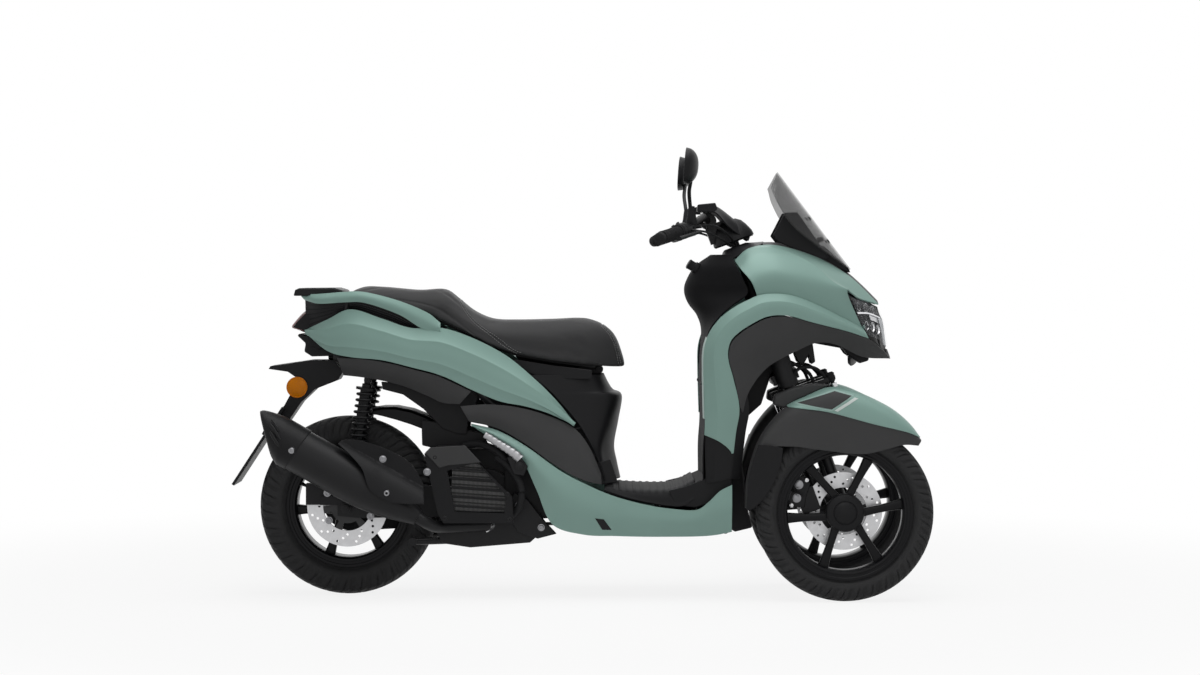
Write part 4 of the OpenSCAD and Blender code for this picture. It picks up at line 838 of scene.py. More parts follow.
# %% Foam swells under the cover
VOXEL, PRESSURE, LAST_FRAME, SLACK = 6.0, 4.0, 20, 2.0
clean(small, True)
pad = bpy.data.objects.new("pad", small)
bpy.context.collection.objects.link(pad)
voxels = pad.modifiers.new("voxels", "REMESH")
voxels.mode, voxels.voxel_size = "VOXEL", VOXEL * MM
even = result(pad)
pad.modifiers.clear()
pad.data = even
before = points_of(even)
resting = before[:, 2] < np.interp(before[:, 0], level[:, 0], level[:, 2]) + 5
held = pad.vertex_groups.new(name="held")
held.add(np.flatnonzero(resting).tolist(), 1.0, "REPLACE")
cloth = pad.modifiers.new("cloth", "CLOTH")
cloth.settings.use_pressure, cloth.settings.uniform_pressure_force = True, PRESSURE
cloth.settings.effector_weights.gravity = 0.0
cloth.settings.vertex_group_mass = "held"
cloth.point_cache.frame_start, cloth.point_cache.frame_end = 1, LAST_FRAME
for frame_number in range(1, LAST_FRAME + 1):
    bpy.context.scene.frame_set(frame_number)
moved = points_of(result(pad)) - before
pad.modifiers.clear()
bpy.context.scene.frame_set(1)
far_moved = np.linalg.norm(moved, axis=1, keepdims=True)
print("cloth moved", round(float(far_moved.mean()), 2), "mm, most", round(float(far_moved.max()), 2))
set_points(even, before + moved * np.minimum(1, (SWELL + SLACK) / np.maximum(far_moved, 1e-6)))
even_out = pad.modifiers.new("even_out", "SMOOTH")
even_out.factor, even_out.iterations = 0.5, 6
finer = pad.modifiers.new("finer", "SUBSURF")
finer.levels = finer.render_levels = 1
skin = result(pad)
bpy.data.objects.remove(pad)
skin.name = "seat_cushion"
print("foam", len(skin.vertices), "points")

# %% Seams sewn into it
SEAM_DEPTH, SEAM_WIDTH, PUFF, PUFF_AT, PUFF_WIDTH = 2.2, 4.0, 0.9, 12.0, 9.0
spots, out = points_of(skin), points_of(skin, "normal")
groove = np.zeros(len(spots))
for line in seams:
    gap = np.full(len(spots), 1e3)
    for q in line[::2]:
        off = spots - q
        depth = (off * out).sum(1, keepdims=True)
        gap = np.where(abs(depth[:, 0]) < 12, np.minimum(gap, np.linalg.norm(off - depth * out, axis=1)), gap)
    groove = np.maximum(groove, SEAM_DEPTH * np.exp(-(gap / SEAM_WIDTH) ** 2)
                        - PUFF * np.exp(-((gap - PUFF_AT) / PUFF_WIDTH) ** 2))
set_points(skin, spots - groove[:, None] * out)
cushion = dress(skin, vinyl, "seat", ("seat",), 60.0, True)
print("deepest seam", round(float(groove.max()), 2), "mm")

# %% Stitches
surface = BVHTree.FromPolygons([v.co for v in skin.vertices], [tuple(f.vertices) for f in skin.polygons])


def on_cushion(track, lift):
    """A track moved to the nearest places on the cushion, lift millimetres above it."""
    near = [surface.find_nearest(Vector(q * MM)) for q in track]
    return np.array([hit[0] / MM + lift * hit[1] for hit in near])


def walk(track, run, d):
    """The place on a track after d millimetres; run holds the way to each of its points."""
    return [np.interp(d, run, track[:, k]) for k in range(3)]


BESIDE, STITCH, PITCH = 4.5, 4.8, 7.5
threads = []
for line in seams[:1] + seams[3:]:
    for shift in (-BESIDE, BESIDE):
        track = on_cushion(line + [shift, 0, 0], 0.2)
        run = np.concatenate([[0], np.cumsum(np.linalg.norm(np.diff(track, axis=0), axis=1))])
        starts = np.arange(3, run[-1] - 8, PITCH)
        for start in starts:
            path = [walk(track, run, start + d) for d in (0, STITCH / 2, STITCH)]
            threads.append(tube(path, [0.5, 0.8, 0.5], 6, (0.3, 0.5, 0.8)))
piece("seat_stitches", threads, thread, body="seat", wrap_v=True, closed=True, sharp=60)
print("seat", len(cushion.data.vertices), "points")


# %% [markdown]
# ## Wheels
# A wheel is a body of revolution, so a profile of radius and width is turned about the axle. The tread is
# part of the same surface: where the groove pattern says so, the surface drops by the groove's depth. A
# bump could draw the grooves too, but they would be missing from the tyre's outline and from its mesh.

# %% Tyres
tyre_rubber = Finish("tyre_rubber", {"Specular IOR Level": 0.12}, "tyre")
dust = tyre_rubber.noise(22.0, 5.0)
grit = tyre_rubber.noise(900.0, 2.0)
tyre_rubber.feed({"Base Color": tyre_rubber.blend(dust, (0.034, 0.034, 0.035, 1), (0.048, 0.048, 0.049, 1)),
                  "Roughness": 0.62 + 0.16 * grit}).bump(grit, 0.3, 0.0006)


AROUND, ACROSS, GROOVE = 720, 90, 3.6


def tyre(name, node, body, centre, r, w, bead, half, lugs):
    """Tyre: smooth profile from bead to bead; slanted grooves repeat lugs times round, shifted side to side."""
    b, h = bead + 0.3, w / 2
    low = half - 6.3
    outline = [[b, -low], [b + 14, -low - 1], [b + 26, 4 - h], [0.45 * b + 0.55 * r, -h], [r - 17, 3 - h],
               [r - 9, -0.8 * h], [r - 3, -0.5 * h], [r - 0.6, -0.22 * h], [r, 0]]
    outline = outline + [[p[0], -p[1]] for p in outline[-2::-1]]
    grid = turned(smooth(outline, ACROSS), (0, 0, 0), (0, 1, 0), AROUND)
    theta = np.linspace(0, 1, AROUND, endpoint=False)[:, None] * lugs
    place = np.linspace(-2, 2, ACROSS)[None, :]
    side = abs(place)
    turn = theta + 0.5 * (place > 0) + 0.7 * np.minimum(side, 1.5)
    near = abs((turn + 0.5) % 1.0 - 0.5)
    short = abs((turn + 0.06) % 1.0 - 0.5)
    cut = np.clip((0.085 + 0.05 * side - near) * 30, 0, 1) * np.clip((side - 0.14) * 12, 0, 1)
    cut = np.maximum(cut, np.clip((0.06 - short) * 40, 0, 1) * np.clip((side - 0.6) * 12, 0, 1))
    cut = cut * np.clip((1.42 - side) * 6, 0, 1)
    out = normals(grid)
    out = out * np.sign((out[:, ACROSS // 2] * grid[:, ACROSS // 2]).sum())
    grid = grid - GROOVE * cut[..., None] * out + np.asarray(centre, float)
    return piece(name, [grid], tyre_rubber, body=body, wrap_u=True, wrap_v=True, replaces=(node,), closed=True,
                 sharp=55)


AXLE_F, AXLE_R = (745.0, 250.0), (-665.0, 256.0)
WHEEL_Y = 192.5
BEAD_F, HALF_F, BEAD_R, HALF_R = 178.0, 35.0, 165.0, 50.0
for side, tag in SIDES:
    tyre("tyre_tread_" + tag, "tyre_front_" + tag, "wheel_front_" + tag,
         (AXLE_F[0], side * WHEEL_Y, AXLE_F[1]), 250.0, 90.0, BEAD_F, HALF_F, 34)
tyre("tyre_tread_rear", "tyre_rear", "wheel_rear", (AXLE_R[0], 0, AXLE_R[1]), 256.0, 130.0, BEAD_R, HALF_R, 30)
print("tyres done")

# %% [markdown]
# ## Mudguards
# Each front mudguard is painted on top and left dark along its lower edge. The painted cap is the same
# surface, cut along a line that is found in the side view, and lifted a little. The dark field and its pale
# edges are thin sheets, plain and without lettering. All of it rides on the fork, and so do the mud flap
# and the fork's cover.

# %% Front mudguards
guard_levels = np.array([[464, 264, 38, 474, 262], [470, 352, 42, 488, 348], [504, 456, 48, 528, 428],
                         [566, 536, 53, 592, 438], [640, 576, 54, 660, 430], [704, 600, 54, 710, 424],
                         [762, 592, 55, 758, 418], [810, 575, 55, 806, 418], [877, 540, 54, 858, 430],
                         [926, 499, 48, 906, 442], [960, 455, 36, 950, 440]], float)
gx, gz, gw, lx, lz = guard_levels.T


def guard_row(q):
    """One row of a mudguard: q runs from -1 to 1 across; the share k leads from the ridge to the lower edge."""
    k = {1.0: 1.0, 0.5: 0.22, 0.0: 0.0}[abs(q)]
    wide = 1.6 if abs(q) == 0.5 else 1.0
    return np.stack([gx + (lx - gx) * k, WHEEL_Y + q * gw * wide, gz + (lz - gz) * k], -1)


guard_rows = [guard_row(q) for q in (-1.0, -0.5, 0.0, 0.5, 1.0)]
guard = patch(guard_rows, *spread(140, 90))
split = smooth([(574, 547, 0), (640, 541, 0), (703, 532, 0), (823, 500, 0), (914, 478, 0), (954, 461, 0)], 80)
split_u, split_v = locate(guard_rows, split[:, 0], split[:, 1], (0.25, 1.0), (0.5, 1.0))
u, w = spread(130, 60, 0.325, 0.985)
edge_v = np.interp(u, np.sort(split_u), split_v[np.argsort(split_u)])
cap = patch(guard_rows, u, (1 - edge_v) + (2 * edge_v - 1) * w)
cap = cap + 2.4 * normals(cap)
diamond = [(612, 557), (715, 590), (762, 577), (705, 541)]
stripe = [(712, 538), (770, 573), (780, 570), (722, 535)]
outline = [(600, 556), (715, 595), (769, 579), (706, 536)]
outer_side = ((0.25, 1.0), (0.5, 1.0))
patches = [("guard_outline", decal(guard_rows, outline, 2.8, *outer_side), pale_mint, 0.6),
           ("guard_diamond", decal(guard_rows, diamond, 3.4, *outer_side), grey_plastic, 0.8),
           ("guard_stripe", decal(guard_rows, stripe, 3.0, *outer_side), pale_trim, 0.6)]
for side, tag in SIDES:
    turn = (lambda g: g) if side > 0 else mirrored
    body = "fork_" + tag
    sheet("mudguard_" + tag, [turn(guard)], grey_plastic, 3, body=body, replaces=("fender_" + tag,))
    sheet("mudguard_cap_" + tag, [turn(cap)], mint_paint, 2.2, 1.0, body=body)
    for name, grid, finish, thick in patches:
        sheet(name + "_" + tag, [turn(grid)], finish, thick, 0.2, body=body)
    flap = sorted((side * (WHEEL_Y + 51.5), side * (WHEEL_Y + 54.5)))
    plate("mud_flap_" + tag, [(500, 444), (535, 441), (569, 434), (564, 392), (551, 354), (536, 322), (515, 292),
                              (490, 268), (474, 258), (466, 262), (471, 346), (484, 398)], [flap], black_plastic, 1,
          body=body)
    inner, outer = side * (WHEEL_Y - 66), side * (WHEEL_Y - 14)
    plate("fork_cover_" + tag, [(546, 552), (549, 578), (600, 599), (656, 611), (706, 608), (664, 586), (612, 564),
                                (576, 540)], [sorted((inner, outer))], grey_plastic, 5, body=body)
print("mudguards done")

# %% [markdown]
# ## Cast wheels and brakes
# Three pairs of spokes leave the hub in a V. A spoke is a tube with a squarish section whose width changes
# from the hub to the ring; the ring, the hub and its cap are turned. The brake discs keep the CAD shape
# with its holes. Their turning marks are finer than a mesh should be, so they are a wave of the radius in
# the material.

# %% Spokes
def spokes(centre, hub, bead, deep, middles):
    """Spokes of one wheel: pairs from the hub, 8 degrees off each middle, to the ring, 31.5 degrees off it."""
    t = np.linspace(0, 1, 18)[:, None]
    shapes = []
    for middle in middles:
        for way in (-1, 1):
            a = np.radians([middle + way * 8, middle + way * 31.5])
            start, end = ([r * np.cos(q), 0, r * np.sin(q)] for r, q in zip((hub - 6, bead - 8), a))
            path = np.array(start) * (1 - t) + np.array(end) * t + np.asarray(centre)
            wide = (15 - 12 * t * (1 - t) * 1.6 + 1.5 * t)[:, 0]
            shapes.append(squarish(path, wide, deep))
    return shapes


def squarish(path, wide, deep):
    """Tube with a rounded-square section: wide across the path in x and z, deep along y."""
    way = np.gradient(path, axis=0)
    way /= np.linalg.norm(way, axis=1, keepdims=True)
    side = np.cross(way, [0, 1, 0])
    a = np.linspace(0, 2 * np.pi, 32, endpoint=False)[None, :, None]
    c, d = (np.sign(f(a)) * abs(f(a)) ** 0.55 for f in (np.cos, np.sin))
    return capped(path, path[:, None] + wide[:, None, None] * c * side[:, None] + deep * d * np.array([0, 1.0, 0]))


print("spoke tools ready")


# %% Rims
def rim(tag, node, body, centre, bead, half, hub, low, high, deep, out):
    """A cast wheel: ring and hub turned, spokes between them; out is the side that faces away, -1 or 1."""
    ring = [[bead - 16, -half + 10], [bead - 12, -half + 1], [bead - 6, -half], [bead - 5, -half + 2],
            [bead + 3, -half + 2], [bead + 4, -half], [bead + 12, -half], [bead + 12, 4 - half], [bead, 6 - half]]
    ring = ring + [[r, -y] for r, y in ring[::-1]]
    rounded(piece("rim_ring_" + tag, [turned(ring, centre, (0, 1, 0), 160)], black_alloy, body=body, wrap_u=True,
                  wrap_v=True, closed=True, replaces=(node,)), 0.8)
    piece("spokes_" + tag, spokes(centre, hub, bead, deep, (97, 217, 337)), black_alloy, body=body, wrap_v=True,
          closed=True, sharp=60)
    bore = 12.0
    tube_wall = [[bore, low], [hub, low], [hub, high], [bore, high]]
    rounded(piece("hub_" + tag, [turned(tube_wall, centre, (0, 1, 0), 64)], black_alloy, body=body, wrap_u=True,
                  wrap_v=True, closed=True), 1.5)
    flange = [[hub - 2, -9], [hub + 13, -9], [hub + 17, -5], [hub + 17, 5], [hub + 13, 9], [hub - 2, 9]]
    piece("flange_" + tag, [turned(flange, centre, (0, 1, 0), 64)], black_alloy, body=body, wrap_u=True, wrap_v=True,
          closed=True)
    a = np.radians(157)
    foot = np.array([(bead - 15) * np.cos(a), -out * 6, (bead - 15) * np.sin(a)]) + centre
    tip = np.array([(bead - 52) * np.cos(a), out * 14, (bead - 52) * np.sin(a)]) + centre
    tubes("valve_" + tag, [np.linspace(foot, tip, 8)], [5, 5, 4.4, 4.2, 4.2, 3.6, 3.6, 3.4], rubber, body=body,
          ref=(0, 1, 0))


for side, tag in SIDES:
    centre = np.array([AXLE_F[0], side * WHEEL_Y, AXLE_F[1]])
    low, high = sorted((side * 26.0, -side * 38.0))
    rim("front_" + tag, "rim_front_" + tag, "wheel_front_" + tag, centre, BEAD_F, HALF_F, 30.0, low, high, 12.0, side)
    dome = np.array([[54, 11], [54, 21], [50, 26], [34, 30.5], [32, 29], [29, 33], [12, 38], [0.0, 39]]) * [1, side]
    sheet("hub_cap_" + tag, [turned(dome, centre, (0, 1, 0), 48)[:: side]], black_plastic, 2.0, 0.4,
          body="wheel_front_" + tag, wrap_u=True)
rear_centre = np.array([AXLE_R[0], 0, AXLE_R[1]])
rim("rear", "rim_rear", "wheel_rear", rear_centre, BEAD_R, HALF_R, 34.0, -67.7, 62.0, 14.0, -1)
print("wheels done")

# %% Drilled discs
def disc_finish(name, x, z, swept):
    """Brake disc: a dark carrier inside the swept ring, and fine turning rings on the steel."""
    finish = Finish(name, {})
    px, _, pz = finish.axes()
    dx, dz = px - x, pz - z
    radius = (dx * dx + dz * dz) ** 0.5
    ring = finish.step(radius, swept - 0.0004, swept + 0.0004)
    rings = (radius * 9000.0).math("SINE") * 0.5 + 0.5
    blot = finish.noise(60.0, 4.0)
    finish.feed({"Base Color": finish.blend(ring, (0.012, 0.012, 0.013, 1),
                                            finish.blend(blot, (0.50, 0.50, 0.51, 1), (0.64, 0.64, 0.65, 1))),
                 "Metallic": 0.2 + 0.7 * ring, "Roughness": 0.30 + 0.12 * rings})
    return finish.bump(rings * ring, 0.06, 0.0002)


disc_front = disc_finish("disc_steel_front", AXLE_F[0] * MM, AXLE_F[1] * MM, 0.0665)
disc_rear = disc_finish("disc_steel_rear", AXLE_R[0] * MM, AXLE_R[1] * MM, 0.0695)
for side, tag in SIDES:
    body, y = "fork_" + tag, side * 170.2
    pair = sorted((y, y + side * 4.0))
    plate("caliper_" + tag, [(592, 262), (586, 300), (596, 344), (630, 352), (652, 330), (640, 296), (634, 262)],
          [pair], cast_black, 2.5, body=body)
    lathe("pistons_" + tag, [([[0, 0], [15, 0], [15, 2.6], [12, 4.4], [0, 4.4]], (x, y, z), (0, side, 0)) for x,
                             z in ((612, 288), (618, 326))], bolt_steel, 32, body=body, slot="cast_alloy")
    bolts("caliper_bolts_" + tag, [(598, y + side * 3.6, 268), (602, y + side * 3.6, 344),
                                   (640, y + side * 3.6, 338)], (0, side, 0), 5.0, 1.6, bright_steel, body=body)
print("brakes done")

# %% [markdown]
# ## Forks
# Above each mudguard two bright tubes slide in the black ones, under a bracket with dust covers. They are
# turned shapes that stand on the raked steering axis. Each rides on its fork, so it follows the steering.

# %% Fork tubes and steering joints
RAKE = math.radians(20)


def on_axis(x, y, z):
    """Place in the raked steering frame: local z runs up the axis, local x points forward."""
    return np.array([813 + x * math.cos(RAKE) - z * math.sin(RAKE), y, x * math.sin(RAKE) + z * math.cos(RAKE)])


axis_up = on_axis(0, 0, 1) - on_axis(0, 0, 0)
for side, tag in SIDES:
    body, y = "fork_" + tag, side * 118.0
    legs = [(x, on_axis(x, y, 0)) for x in (-30, 30)]
    lathe("fork_shine_" + tag, [([[0, 500], [16.9, 500], [16.9, 594], [0, 594]], foot, axis_up) for x, foot in legs],
          chrome, 40, body=body)
    boot = [[0, 470], [19, 470], [21, 476], [19, 482], [21, 488], [19, 494], [20.5, 500], [17.5, 506], [0, 506]]
    lathe("fork_boots_" + tag, [(boot, foot, axis_up) for x, foot in legs], rubber, 36, body=body)
    bolts("fork_bolts_" + tag, [on_axis(x, y + side * 19, 611) for x in (-36, 0, 36)], (0, side, 0), 5.5, 4.5,
          bright_steel, body=body)
    joint = [[0, -16], [8, -16], [12, -10], [13.5, -3], [12, 3], [13.5, 7], [9, 12], [0, 13]]
    lathe("arm_boot_" + tag, [(joint, on_axis(120, y, 626), axis_up)], rubber, 32, body=body)
print("forks done")

# %% [markdown]
# ## Rear springs
# A spring is a wire along a helix: a circle whose middle moves along the damper. The damper inside it is
# one turned profile with its eyes, collars and rod. The left one is the mirror image of the right one.

# %% Coil springs
damper_top, damper_low = np.array([-604.0, -100.0, 620.0]), np.array([-645.0, -100.0, 353.2])
way, side_1, side_2 = frame_of(damper_low - damper_top)
TURNS = 9
t = np.linspace(0, 1, TURNS * 30 + 1)[:, None]
turn = 2 * np.pi * TURNS * t
helix = damper_top + (32 + 154 * t) * way + 23.0 * (np.cos(turn) * side_1 + np.sin(turn) * side_2)
coils = [tube(helix * m, 4.0, 12, way * m) for m in EACH_SIDE]
piece("springs", coils, black_steel, wrap_v=True, closed=True, replaces=("rear_dampers",))
column = [[0, -11], [8, -10], [11, -4], [11, 4], [9, 12], [14, 14], [14, 24], [30, 24], [30, 31], [17, 32],
          [17, 120], [14, 121], [14, 187], [30, 188], [30, 197], [20, 199], [19, 240], [13, 244], [11, 262],
          [11, 276], [8, 281], [0, 282]]
lathe("damper_columns", [(column, damper_top * m, way * m) for m in EACH_SIDE], black_alloy, 40)
bolts("damper_bolts", [damper_top + [0, -11, 0], damper_low + [0, -11, 0]], (0, -1, 0), 8, 5, black_steel)
print("springs done")

# %% [markdown]
# ## Exhaust
# The silencer tapers to the front and ends in a slanted cap behind; a guard stands proud on its outer side.
# Places on it are given by an angle about its axis and a way along it, so that the cap, the painted slot shade
# and the bolts follow its form. The guard is drawn in the side view and then wrapped round the silencer.

# %% Silencer
muff_rear, muff_front = np.array([-882.0, -198.0, 476.0]), np.array([-456.0, -198.0, 236.0])
muff_way = frame_of(muff_front - muff_rear)[0]


def muff(phi, along, radius):
    """Place on the silencer: phi 0 points out to the right and grows upwards; along starts at the rear."""
    out, up = np.array([0, -1.0, 0]), np.array([muff_way[2], 0, -muff_way[0]]) * -1
    phi, along, radius = (np.asarray(q, float)[..., None] for q in (phi, along, radius))
    return muff_rear + along * muff_way + radius * (np.cos(phi) * out + np.sin(phi) * up)


body_line = smooth(np.array([[70, 60, 0], [95, 62.5, 0], [200, 63, 0], [300, 62, 0], [370, 54, 0], [430, 41, 0],
                             [470, 29, 0], [489, 23, 0]], float), 60)
phi, k = np.meshgrid(np.linspace(0, 2 * np.pi, 96, endpoint=False), np.arange(60), indexing="ij")
shell = muff(phi, body_line[k, 0], body_line[k, 1])
caps = [np.repeat((muff_rear + d * muff_way)[None, None], 96, 0) for d in (70, 489)]
piece("silencer_shell", [np.concatenate([caps[0], shell, caps[1]], 1)], exhaust_black, wrap_u=True, closed=True,
      replaces=("exhaust",), sharp=50)
pipe_line = smooth([(-458, -198, 237), (-438, -196, 224), (-412, -170, 209), (-380, -142, 204), (-320, -126, 205),
                    (-270, -114, 206), (-256, -100, 206), (-255, -87, 206)], 60)
tubes("exhaust_pipe", [pipe_line], 17.0, exhaust_black, 24)
phi, t = np.meshgrid(np.linspace(0, 2 * np.pi, 96), np.linspace(0, 1, 30), indexing="ij")
start = -0.5 - 43 * np.sin(phi)
reach = 104 + 6 * np.sin(phi)
sleeve = muff(phi, start + (reach - start) * t, 43 + 22.2 * np.sqrt(np.clip(t * 2.0, 0, 1)))
sheet("silencer_cap", [sleeve[::-1]], black_plastic, 3.0, 1.0)
phi, t = np.meshgrid(np.linspace(0, 2 * np.pi, 64, endpoint=False), np.linspace(0, 1, 14), indexing="ij")
dish = muff(phi, 18 - 42 * np.sin(phi) * t, 46 * t)
sheet("silencer_end", [dish[:, ::-1]], black_steel, 2.0, wrap_u=True, slot="exhaust_steel")
outlet = [muff(0.2, d, 16.0) for d in (-6, 40)]
tubes("silencer_outlet", [np.linspace(outlet[0], outlet[1], 6)], 13.0, lamp_black, 24, slot="exhaust_steel")
# The cap's cut-outs are not cut through: near-black strips stand proud on the cap along them, painted shade of the
# openings.
slots = [muff([a, b], [c, d], [66.0, 66.0]) for a, b, c, d in
         ((0.72, 0.40, 0, 34), (0.50, 0.12, 2, 52), (0.20, -0.16, 14, 58))]
tubes("cap_slot_shades", [np.linspace(q[0], q[1], 8) for q in slots], [2, 4, 5, 5, 5, 5, 4, 2], lamp_black, 12,
      ref=(0, 1, 0), flat=0.5)
print("silencer done")

# %% Heat guard
guard_low = smooth([(-676, 0, 446), (-640, 0, 414), (-606, 0, 374), (-584, 0, 318), (-535, 0, 286), (-490, 0, 280),
                    (-434, 0, 279)], 60)
guard_high = smooth([(-668, 0, 454), (-636, 0, 456), (-590, 0, 446), (-546, 0, 431), (-500, 0, 408), (-466, 0, 380),
                     (-438, 0, 330)], 60)
t = np.linspace(0, 1, 30)[None, :, None]
shield = guard_low[:, None] * (1 - t) + guard_high[:, None] * t
flat = shield - muff_rear
off_axis = abs(flat[..., 0] * muff_way[2] - flat[..., 2] * muff_way[0])
shield[..., 1] = -198 - 70 * np.sqrt(np.clip(1 - (off_axis / 88) ** 2, 0.1, 1))
sheet("heat_guard", [shield], black_plastic, 3.0, 1.2, replaces=("exhaust_guard",))
bolts("guard_bolts", [(-549, -255, 404), (-538, -262, 309)], (0, -1, 0), 8, 6, bolt_steel)
bolts("cap_bolts", [muff(-0.05, 92.0, 64.5)], (0, -1, 0), 7, 4, bolt_steel)
bolts("bracket_bolts", [(-430, -188, 363), (-719, -109, 297), (-596, -109, 231), (-714, -109, 219)], (0, -1, 0), 8.5,
      6, bolt_steel)
lathe("axle_nut", [([[0, -2], [20, -2], [20, 4], [15, 6], [15, 16], [9, 18], [9, 22], [0, 23]], (-665, -108, 256),
                    (0, -1, 0))], cast_black, 6)
print("exhaust done")

# %% [markdown]
# ## Tail
# Under each grab rail lies a dark recess with slats; the lamp sits on a dark block. The recess is spanned
# between the rail and the cover below, and a saw wave across it makes the slats. The red lens is a line
# drawn across the tail, bowed at its ends and with fine flutes.

# %% Rail recess and tail lamp
u, v = spread(70, 60)
upper = curve(rail_low, u[:, 0])[:, None] - [0, 15, -4]
lower = curve(cover_top, 0.5 * u[:, 0])[:, None] - [0, 13, 4]
recess = upper * (1 - v[..., None]) + lower * v[..., None]
recess[..., 1] -= 5 * np.sin(np.pi * v) - 2.5 * (v * 6 % 1.0)
sheet("rail_recess", [recess, mirrored(recess)], black_plastic, 2.0, 0.3)
lamp_outline = [(-822, 768), (-806, 788), (-772, 820), (-736, 804), (-702, 789), (-702, 741), (-744, 702),
                (-777, 717), (-785, 742), (-789, 759)]
plate("tail_lamp_body", lamp_outline, [(-66, 66)], black_plastic, 3, replaces=("tail_lamp",))
lamp_line = smooth([(-776, 0, 821), (-798, 0, 802), (-817, 0, 780), (-824, 0, 768), (-812, 0, 763), (-790, 0, 755)],
                   50)
u, v = spread(50, 60)
tail_lens = lamp_line[:, None] + np.stack([0 * v, 60 - 120 * v, 0 * v], -1)
tail_lens[..., 0] += 10 * abs(2 * v - 1) ** 4 - 2.5 - 0.8 * np.sin(v * 2 * np.pi * 14)
sheet("tail_lens", [tail_lens[::-1]], red_lens, 2.0)
plate("tail_block", [(-804, 750), (-786, 744), (-712, 736), (-692, 686), (-768, 684), (-790, 698), (-786, 722),
                     (-810, 744)], [(-62, 62)], black_plastic, 4)
plate("carrier_pad", [(-816, 858), (-811, 875), (-800, 880), (-700, 881), (-676, 874), (-674, 864), (-700, 858)],
      [(-108, 108)], black_plastic, 4)
bezel = [[0, 0], [30, 0], [30, 3], [27.5, 3.2], [27, 2], [24, 3.4], [0, 4.4]]
lathe("reflector_lens", [(bezel, (-811, y, 596), (0, np.sign(y), 0)) for y in (-58, 58)], amber_lens, 56,
      replaces=("reflectors",))
lathe("reflector_seats", [([[0, -6], [24, -6], [24, 0.5], [0, 0.5]], (-811, y, 596), (0, np.sign(y), 0))
                          for y in (-58, 58)], black_plastic, 40)
print("tail done")

# %% [markdown]
# ## Handlebar
# Grips are ribbed sleeves; beside them sit switch blocks, brake reservoirs and the mirrors' stems. The ribs
# are part of the turned profile. A mirror head is an oval dome with a separate sheet of glass in it, tilted
# and turned a little. All of this rides on the steering.

# %% Grips and switches
grip_in, grip_out, bar_bend = (np.array(q, float) for q in ((295, -226, 1043), (228, -345, 1021), (350, -112, 1080)))
grip_way = (grip_out - grip_in) / np.linalg.norm(grip_out - grip_in)
long = np.linalg.norm(grip_out - grip_in)
rib_at = np.linspace(46, long - 4, 90)
ribs = np.stack([17.2 + 0.9 * np.clip(3 * np.sin(rib_at * 2 * np.pi / 6.4), -1, 1), rib_at], -1)
sleeve = np.concatenate([[[0, 40], [21, 40], [21, 44], [17.5, 45]], ribs,
                         [[18.5, long - 3], [18.5, long], [12, long + 2], [16, long + 4], [17, long + 10],
                          [16, long + 18], [11, long + 22], [0, long + 23]]])
block = [[0, 4], [20, 4], [23.5, 8], [23.5, 22], [22.6, 22.5], [22.6, 24], [23.5, 24.5], [23.5, 38], [20, 41],
         [0, 41]]
lathe("grip_sleeves", [(sleeve, grip_in * m, grip_way * m) for m in EACH_SIDE], rubber, 40, body="steering",
      replaces=("grips",))
lathe("switch_blocks", [(block, grip_in * m, grip_way * m) for m in EACH_SIDE], black_plastic, 40, body="steering")
for name, x, z, size in (("button_high", -12, 20, 5.0), ("button_low", -20, -6, 6.0)):
    place = grip_in + 16 * grip_way + [x, 0, z]
    lathe(name, [([[0, -4], [size, -4], [size, 4], [size - 1, 5], [0, 5.5]], place * m, np.array([-0.6, 0, 0.8]))
                 for m in EACH_SIDE], grey_plastic, 24, body="steering", slot="black_plastic")
plate("brake_reservoirs", [(330, 1096), (332, 1116), (382, 1121), (388, 1103), (376, 1094)], both_sides(146, 196),
      black_plastic, 3, body="steering")
print("grips of", round(float(long)), "mm")

# %% Mirrors
mirror_mid = np.array([306.0, -300.0, 1220.0])
foot = 0.64 * grip_in + 0.36 * bar_bend + [0, 0, 19]
stem = smooth([foot - [0, 0, 10], foot + [-4, -6, 34], foot + [-8, -40, 74], mirror_mid + [4, 46, -42],
               mirror_mid + [6, 20, -16]], 40)
tubes("mirror_stems", [stem, stem * FLIP], 5.5, black_steel, body="steering", replaces=("mirrors",))
cone = [[0, -14], [15, -14], [16, -6], [13, 6], [10.5, 26], [8.5, 36], [0, 37]]
lathe("stem_boots", [(cone, foot, (0, -0.12, 1)), (cone, foot * FLIP, (0, 0.12, 1))], rubber, 32, body="steering")
a, rho = np.meshgrid(np.linspace(0, 2 * np.pi, 72, endpoint=False), np.linspace(0, 1, 24), indexing="ij")
HEAD_Y, HEAD_Z, TILT, TOE = 75, 51, 4.0, 4.0


def mirror_part(depth, scale, toe):
    """Part of a mirror head: a rounded oval in y and z with x = depth(share from the middle), turned by toe."""
    c, d = (np.sign(f(a)) * abs(f(a)) ** 0.8 for f in (np.cos, np.sin))
    x, y, z = depth(rho), HEAD_Y * scale * rho * c, HEAD_Z * scale * rho * d
    tilt, toe = math.radians(TILT), math.radians(toe)
    x, z = x * math.cos(tilt) + z * math.sin(tilt), -x * math.sin(tilt) + z * math.cos(tilt)
    x, y = x * math.cos(toe) + y * math.sin(toe), y * math.cos(toe) - x * math.sin(toe)
    return mirror_mid + np.stack([x, y, z], -1)


shells = [mirror_part(lambda q: 36 * np.sqrt(np.clip(1 - q**2.4, 0, 1)) - 12, 1.0, toe) for toe in (TOE, -TOE)]
sheet("mirror_shells", [shells[0][::-1], mirrored(shells[1])[::-1]], black_plastic, 2.5, body="steering",
      wrap_u=True)
faces = [mirror_part(lambda q: -12.5 + 0.8 * q**2, 0.955, toe) for toe in (TOE, -TOE)]
sheet("mirror_faces", [faces[0], mirrored(faces[1])], mirror_glass, 1.5, 0.3, body="steering", wrap_u=True)
print("mirrors", 2 * HEAD_Y, "by", 2 * HEAD_Z, "mm")

